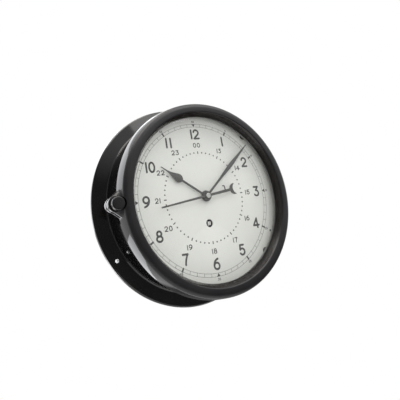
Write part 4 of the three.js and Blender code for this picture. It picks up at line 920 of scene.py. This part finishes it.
# the crescent between two circles, with its horns where they cross
def moonOutline(outerCentre, outerRadius, innerCentre, innerRadius):
    apart = outerCentre[0] - innerCentre[0]
    cross = (apart ** 2 + outerRadius ** 2 - innerRadius ** 2) / (2.0 * apart)
    outerTurn = math.degrees(math.acos(-cross / outerRadius))
    innerTurn = math.degrees(math.acos((apart - cross) / innerRadius))
    outerSteps, innerSteps = hands["moonSteps"]
    far = arcPoints(outerCentre, outerRadius, -outerTurn, outerTurn, outerSteps)
    near = arcPoints(innerCentre, innerRadius, innerTurn, -innerTurn, innerSteps)
    return far + near[1:-1]


def buildHand(look):
    outlines = [circlePoints(origin, look["boss"], hands["bossSteps"])]
    outlines.append(look["blade"] + [(x, -half) for x, half in reversed(look["blade"])])
    if "moon" in look:
        outlines += [moonOutline(*look["moon"]), look["spur"]]
    eye = circlePoints(origin, look["eye"], hands["eyeSteps"])
    placed = [turnedTo(look["clock"], outline) for outline in outlines]
    return cutOut(placed, *look["level"], [eye], hands["edge"], hands["edgeSteps"])


for name in ("hour", "minute", "seconds"):
    piece(name + "_pointer", buildHand(hands[name]), name, "hand_paint", [name + "_hand"])

# bushes in the hands, and the bright cap on the seconds arbor
bosses = {
    "hour": {"steps": 56, "bends": 3,
             "profile": [(3.1, 42.9, 0.1), (3.8, 42.9, 0.1), (3.8, 44.45, 0.15), (3.1, 44.45, 0.1)]},
    "minute": {"steps": 56, "bends": 3,
               "profile": [(2.2, 45.15, 0.1), (2.9, 45.15, 0.1), (2.9, 46.15, 0.15), (2.2, 46.15, 0.1)]},
    "hub": {"steps": 56, "bends": 4,
            "profile": [(0.85, 46.8, 0.0), (1.5, 46.8, 0.1), (1.5, 47.5, 0.0), (2.25, 47.5, 0.15),
                        (2.25, 48.1, 0.35), (0.85, 48.1, 0.1)]},
}
for name in ("hour", "minute"):
    piece(name + "_boss", lathed(bosses[name]), name, "blackened_steel", [name + "_hand_bush"])
piece("seconds_cap", lathed(bosses["hub"]), "seconds", "polished_steel", ["seconds_hub"])
print("hands built")

# the click's leaf spring, fixed at its foot
leaf = {"foot": (-14.095, -11.632), "touch": (-6.927, -15.396), "thick": 0.48, "level": (36.15, 37.5),
        "edge": 0.06, "cells": 24, "bend": (0.14, 0.96), "steps": 32, "bends": 5,
        "profile": [(0.0, 35.8, 0.0), (1.0, 35.8, 0.1), (1.0, 37.6, 0.15), (0.0, 37.6, 0.0)]}


def alongLeaf(share):
    return Vector(leaf["foot"]).lerp(Vector(leaf["touch"]), share)


def buildLeaf():
    run = (alongLeaf(1.0) - alongLeaf(0.0)).normalized()
    side = Vector((-run.y, run.x)) * leaf["thick"]
    spots = [alongLeaf(i / leaf["cells"]) for i in range(leaf["cells"] + 1)]
    outline = [tuple(spot) for spot in spots] + [tuple(spot + side) for spot in reversed(spots)]
    strip = cutOut([outline], *leaf["level"], edge=leaf["edge"])
    return worked(lathed(leaf, leaf["foot"]), [strip], "UNION")


bendStart, bendEnd = [fromWall(*alongLeaf(share), leaf["level"][0]) for share in leaf["bend"]]
piece("click_leaf", buildLeaf(), "case", "spring_steel", ["click_spring"], bend=("click", bendStart, bendEnd))
print("click spring built")

# the rest of the movement keeps its solids, each with the finish that its slot names
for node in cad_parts.values():
    for holder in node.material_slots:
        slot = holder.material.name.split(".")[0]
        holder.material = coats[slot.replace("_", " ")]
print("movement dressed")

# a pale floor well below the wall clock, fading into the white surround
stage = {"drop": -0.6, "size": 0.55, "cells": 24, "colour": (0.86, 0.86, 0.86, 1.0), "rough": 0.9,
         "fade": (0.25, 0.5)}


def seenDirectly(tree):
    path = tree.nodes.new("ShaderNodeLightPath")
    first = mathNode(tree, "MAXIMUM", path.outputs["Is Camera Ray"], path.outputs["Is Glossy Ray"])
    return mathNode(tree, "MAXIMUM", first.outputs[0], path.outputs["Is Transmission Ray"])


def buildStage():
    shape = bmesh.new()
    bmesh.ops.create_grid(shape, x_segments=stage["cells"], y_segments=stage["cells"], size=stage["size"])
    floor = roughPiece("floor", shape)
    floor.location.z = stage["drop"]
    coat, tree, shader = startCoat("floor paint")
    shader.inputs["Base Color"].default_value = stage["colour"]
    shader.inputs["Roughness"].default_value = stage["rough"]
    shader.inputs["Specular IOR Level"].default_value = 0.0
    spot = tree.nodes.new("ShaderNodeTexCoord").outputs["Object"]
    away = tree.nodes.new("ShaderNodeVectorMath")
    away.operation = "LENGTH"
    tree.links.new(spot, away.inputs[0])
    fade = rangeNode(tree, away.outputs["Value"], *stage["fade"])
    share = mathNode(tree, "MULTIPLY", seenDirectly(tree).outputs[0], fade.outputs["Result"])
    white = tree.nodes.new("ShaderNodeEmission")
    overlay(tree, share.outputs[0], shader.outputs["BSDF"], white.outputs["Emission"])
    floor.data.materials.append(coat)


# soft studio light: a white surround, dimmer on the camera's side in reflections, and a few large panels
studio = {"surround": 0.7, "turn": (-0.25, 0.2), "lit": (0.46, 0.0, 0.888), "rise": (0.19, 0.5), "dim": 0.12,
          "shade": (0.02, 0.14), "under": (-0.1, -0.28)}
lamps = {
    "key": {"at": (0.65, -0.95, 1.25), "size": (1.1, 1.1), "power": 9.0, "tint": (1.0, 0.99, 0.97)},
    "fill": {"at": (-0.45, -1.3, 0.45), "size": (1.0, 1.0), "power": 4.5, "tint": (1.0, 0.99, 0.97)},
    "top": {"at": (-0.25, -0.1, 1.5), "size": (1.2, 1.2), "power": 14.0, "tint": (1.0, 0.95, 0.9)},
    "backdrop": {"at": (-0.3, 1.2, 0.36), "size": (1.7, 1.0), "power": 9.0, "tint": (0.95, 0.97, 1.0)},
    "card": {"at": (-0.36, 0.79, -0.45), "size": (0.66, 0.32), "power": 1.5, "tint": (0.96, 0.97, 1.0)},
}
unmirrored = ["fill"]  # lamps that no gloss shows


def buildSurround(tree):
    towards = tree.nodes.new("ShaderNodeTexCoord").outputs["Generated"]
    parts = tree.nodes.new("ShaderNodeSeparateXYZ")
    tree.links.new(towards, parts.inputs["Vector"])
    back = rangeNode(tree, parts.outputs["Y"], *studio["turn"])
    aside = rangeNode(tree, parts.outputs["X"], *studio["shade"])
    below = rangeNode(tree, parts.outputs["Z"], *studio["under"])
    corner = mathNode(tree, "MULTIPLY", aside.outputs["Result"], below.outputs["Result"])
    behind = mathNode(tree, "SUBTRACT", back.outputs["Result"], corner.outputs[0])
    lit = tree.nodes.new("ShaderNodeVectorMath")
    lit.operation = "DOT_PRODUCT"
    lit.inputs[1].default_value = studio["lit"]
    tree.links.new(towards, lit.inputs[0])
    front = rangeNode(tree, lit.outputs["Value"], *studio["rise"])
    front.inputs["To Min"].default_value = studio["dim"]
    mirrored = mathNode(tree, "MAXIMUM", behind.outputs[0], front.outputs["Result"])
    path = tree.nodes.new("ShaderNodeLightPath")
    seen = mathNode(tree, "MAXIMUM", path.outputs["Is Camera Ray"], path.outputs["Is Transmission Ray"])
    plain = rangeNode(tree, seen.outputs[0], 0.0, 1.0)
    plain.inputs["To Min"].default_value = studio["surround"]
    level = tree.nodes.new("ShaderNodeMix")
    tree.links.new(path.outputs["Is Glossy Ray"], level.inputs[0])
    tree.links.new(plain.outputs["Result"], level.inputs[2])
    tree.links.new(mirrored.outputs[0], level.inputs[3])
    return level.outputs[0]


def buildStudio():
    world = bpy.data.worlds.new("studio")
    scene.world = world
    world.use_nodes = True
    tree = world.node_tree
    sky = tree.nodes["Background"]
    sky.inputs["Color"].default_value = (1.0, 1.0, 1.0, 1.0)
    tree.links.new(buildSurround(tree), sky.inputs["Strength"])
    for name, look in lamps.items():
        lamp = bpy.data.lights.new(name, "AREA")
        lamp.shape = "RECTANGLE"
        lamp.size, lamp.size_y = look["size"]
        lamp.energy = look["power"]
        lamp.color = look["tint"]
        holder = bpy.data.objects.new(name, lamp)
        holder.location = look["at"]
        holder.rotation_euler = (-Vector(look["at"])).to_track_quat("-Z", "Y").to_euler()
        holder.visible_camera = False
        holder.visible_glossy = name not in unmirrored
        scene.collection.objects.link(holder)


camera = {"lens": 33.358, "sensor": 36.0, "at": (-0.1943, -0.3388, -0.0266), "turn": (105.58, 7.65, -24.29),
          "shift": (0.1245, -0.174), "nearest": 0.01}


def buildCamera():
    view = bpy.data.cameras.new("view")
    view.lens = camera["lens"]
    view.sensor_width = camera["sensor"]
    view.shift_x, view.shift_y = camera["shift"]
    view.clip_start = camera["nearest"]
    holder = bpy.data.objects.new("view", view)
    holder.location = camera["at"]
    holder.rotation_euler = Euler([math.radians(turn) for turn in camera["turn"]], "XYZ")
    scene.collection.objects.link(holder)
    scene.camera = holder


buildStage()
buildStudio()
buildCamera()
scene.view_settings.view_transform = "Standard"
print("studio set")
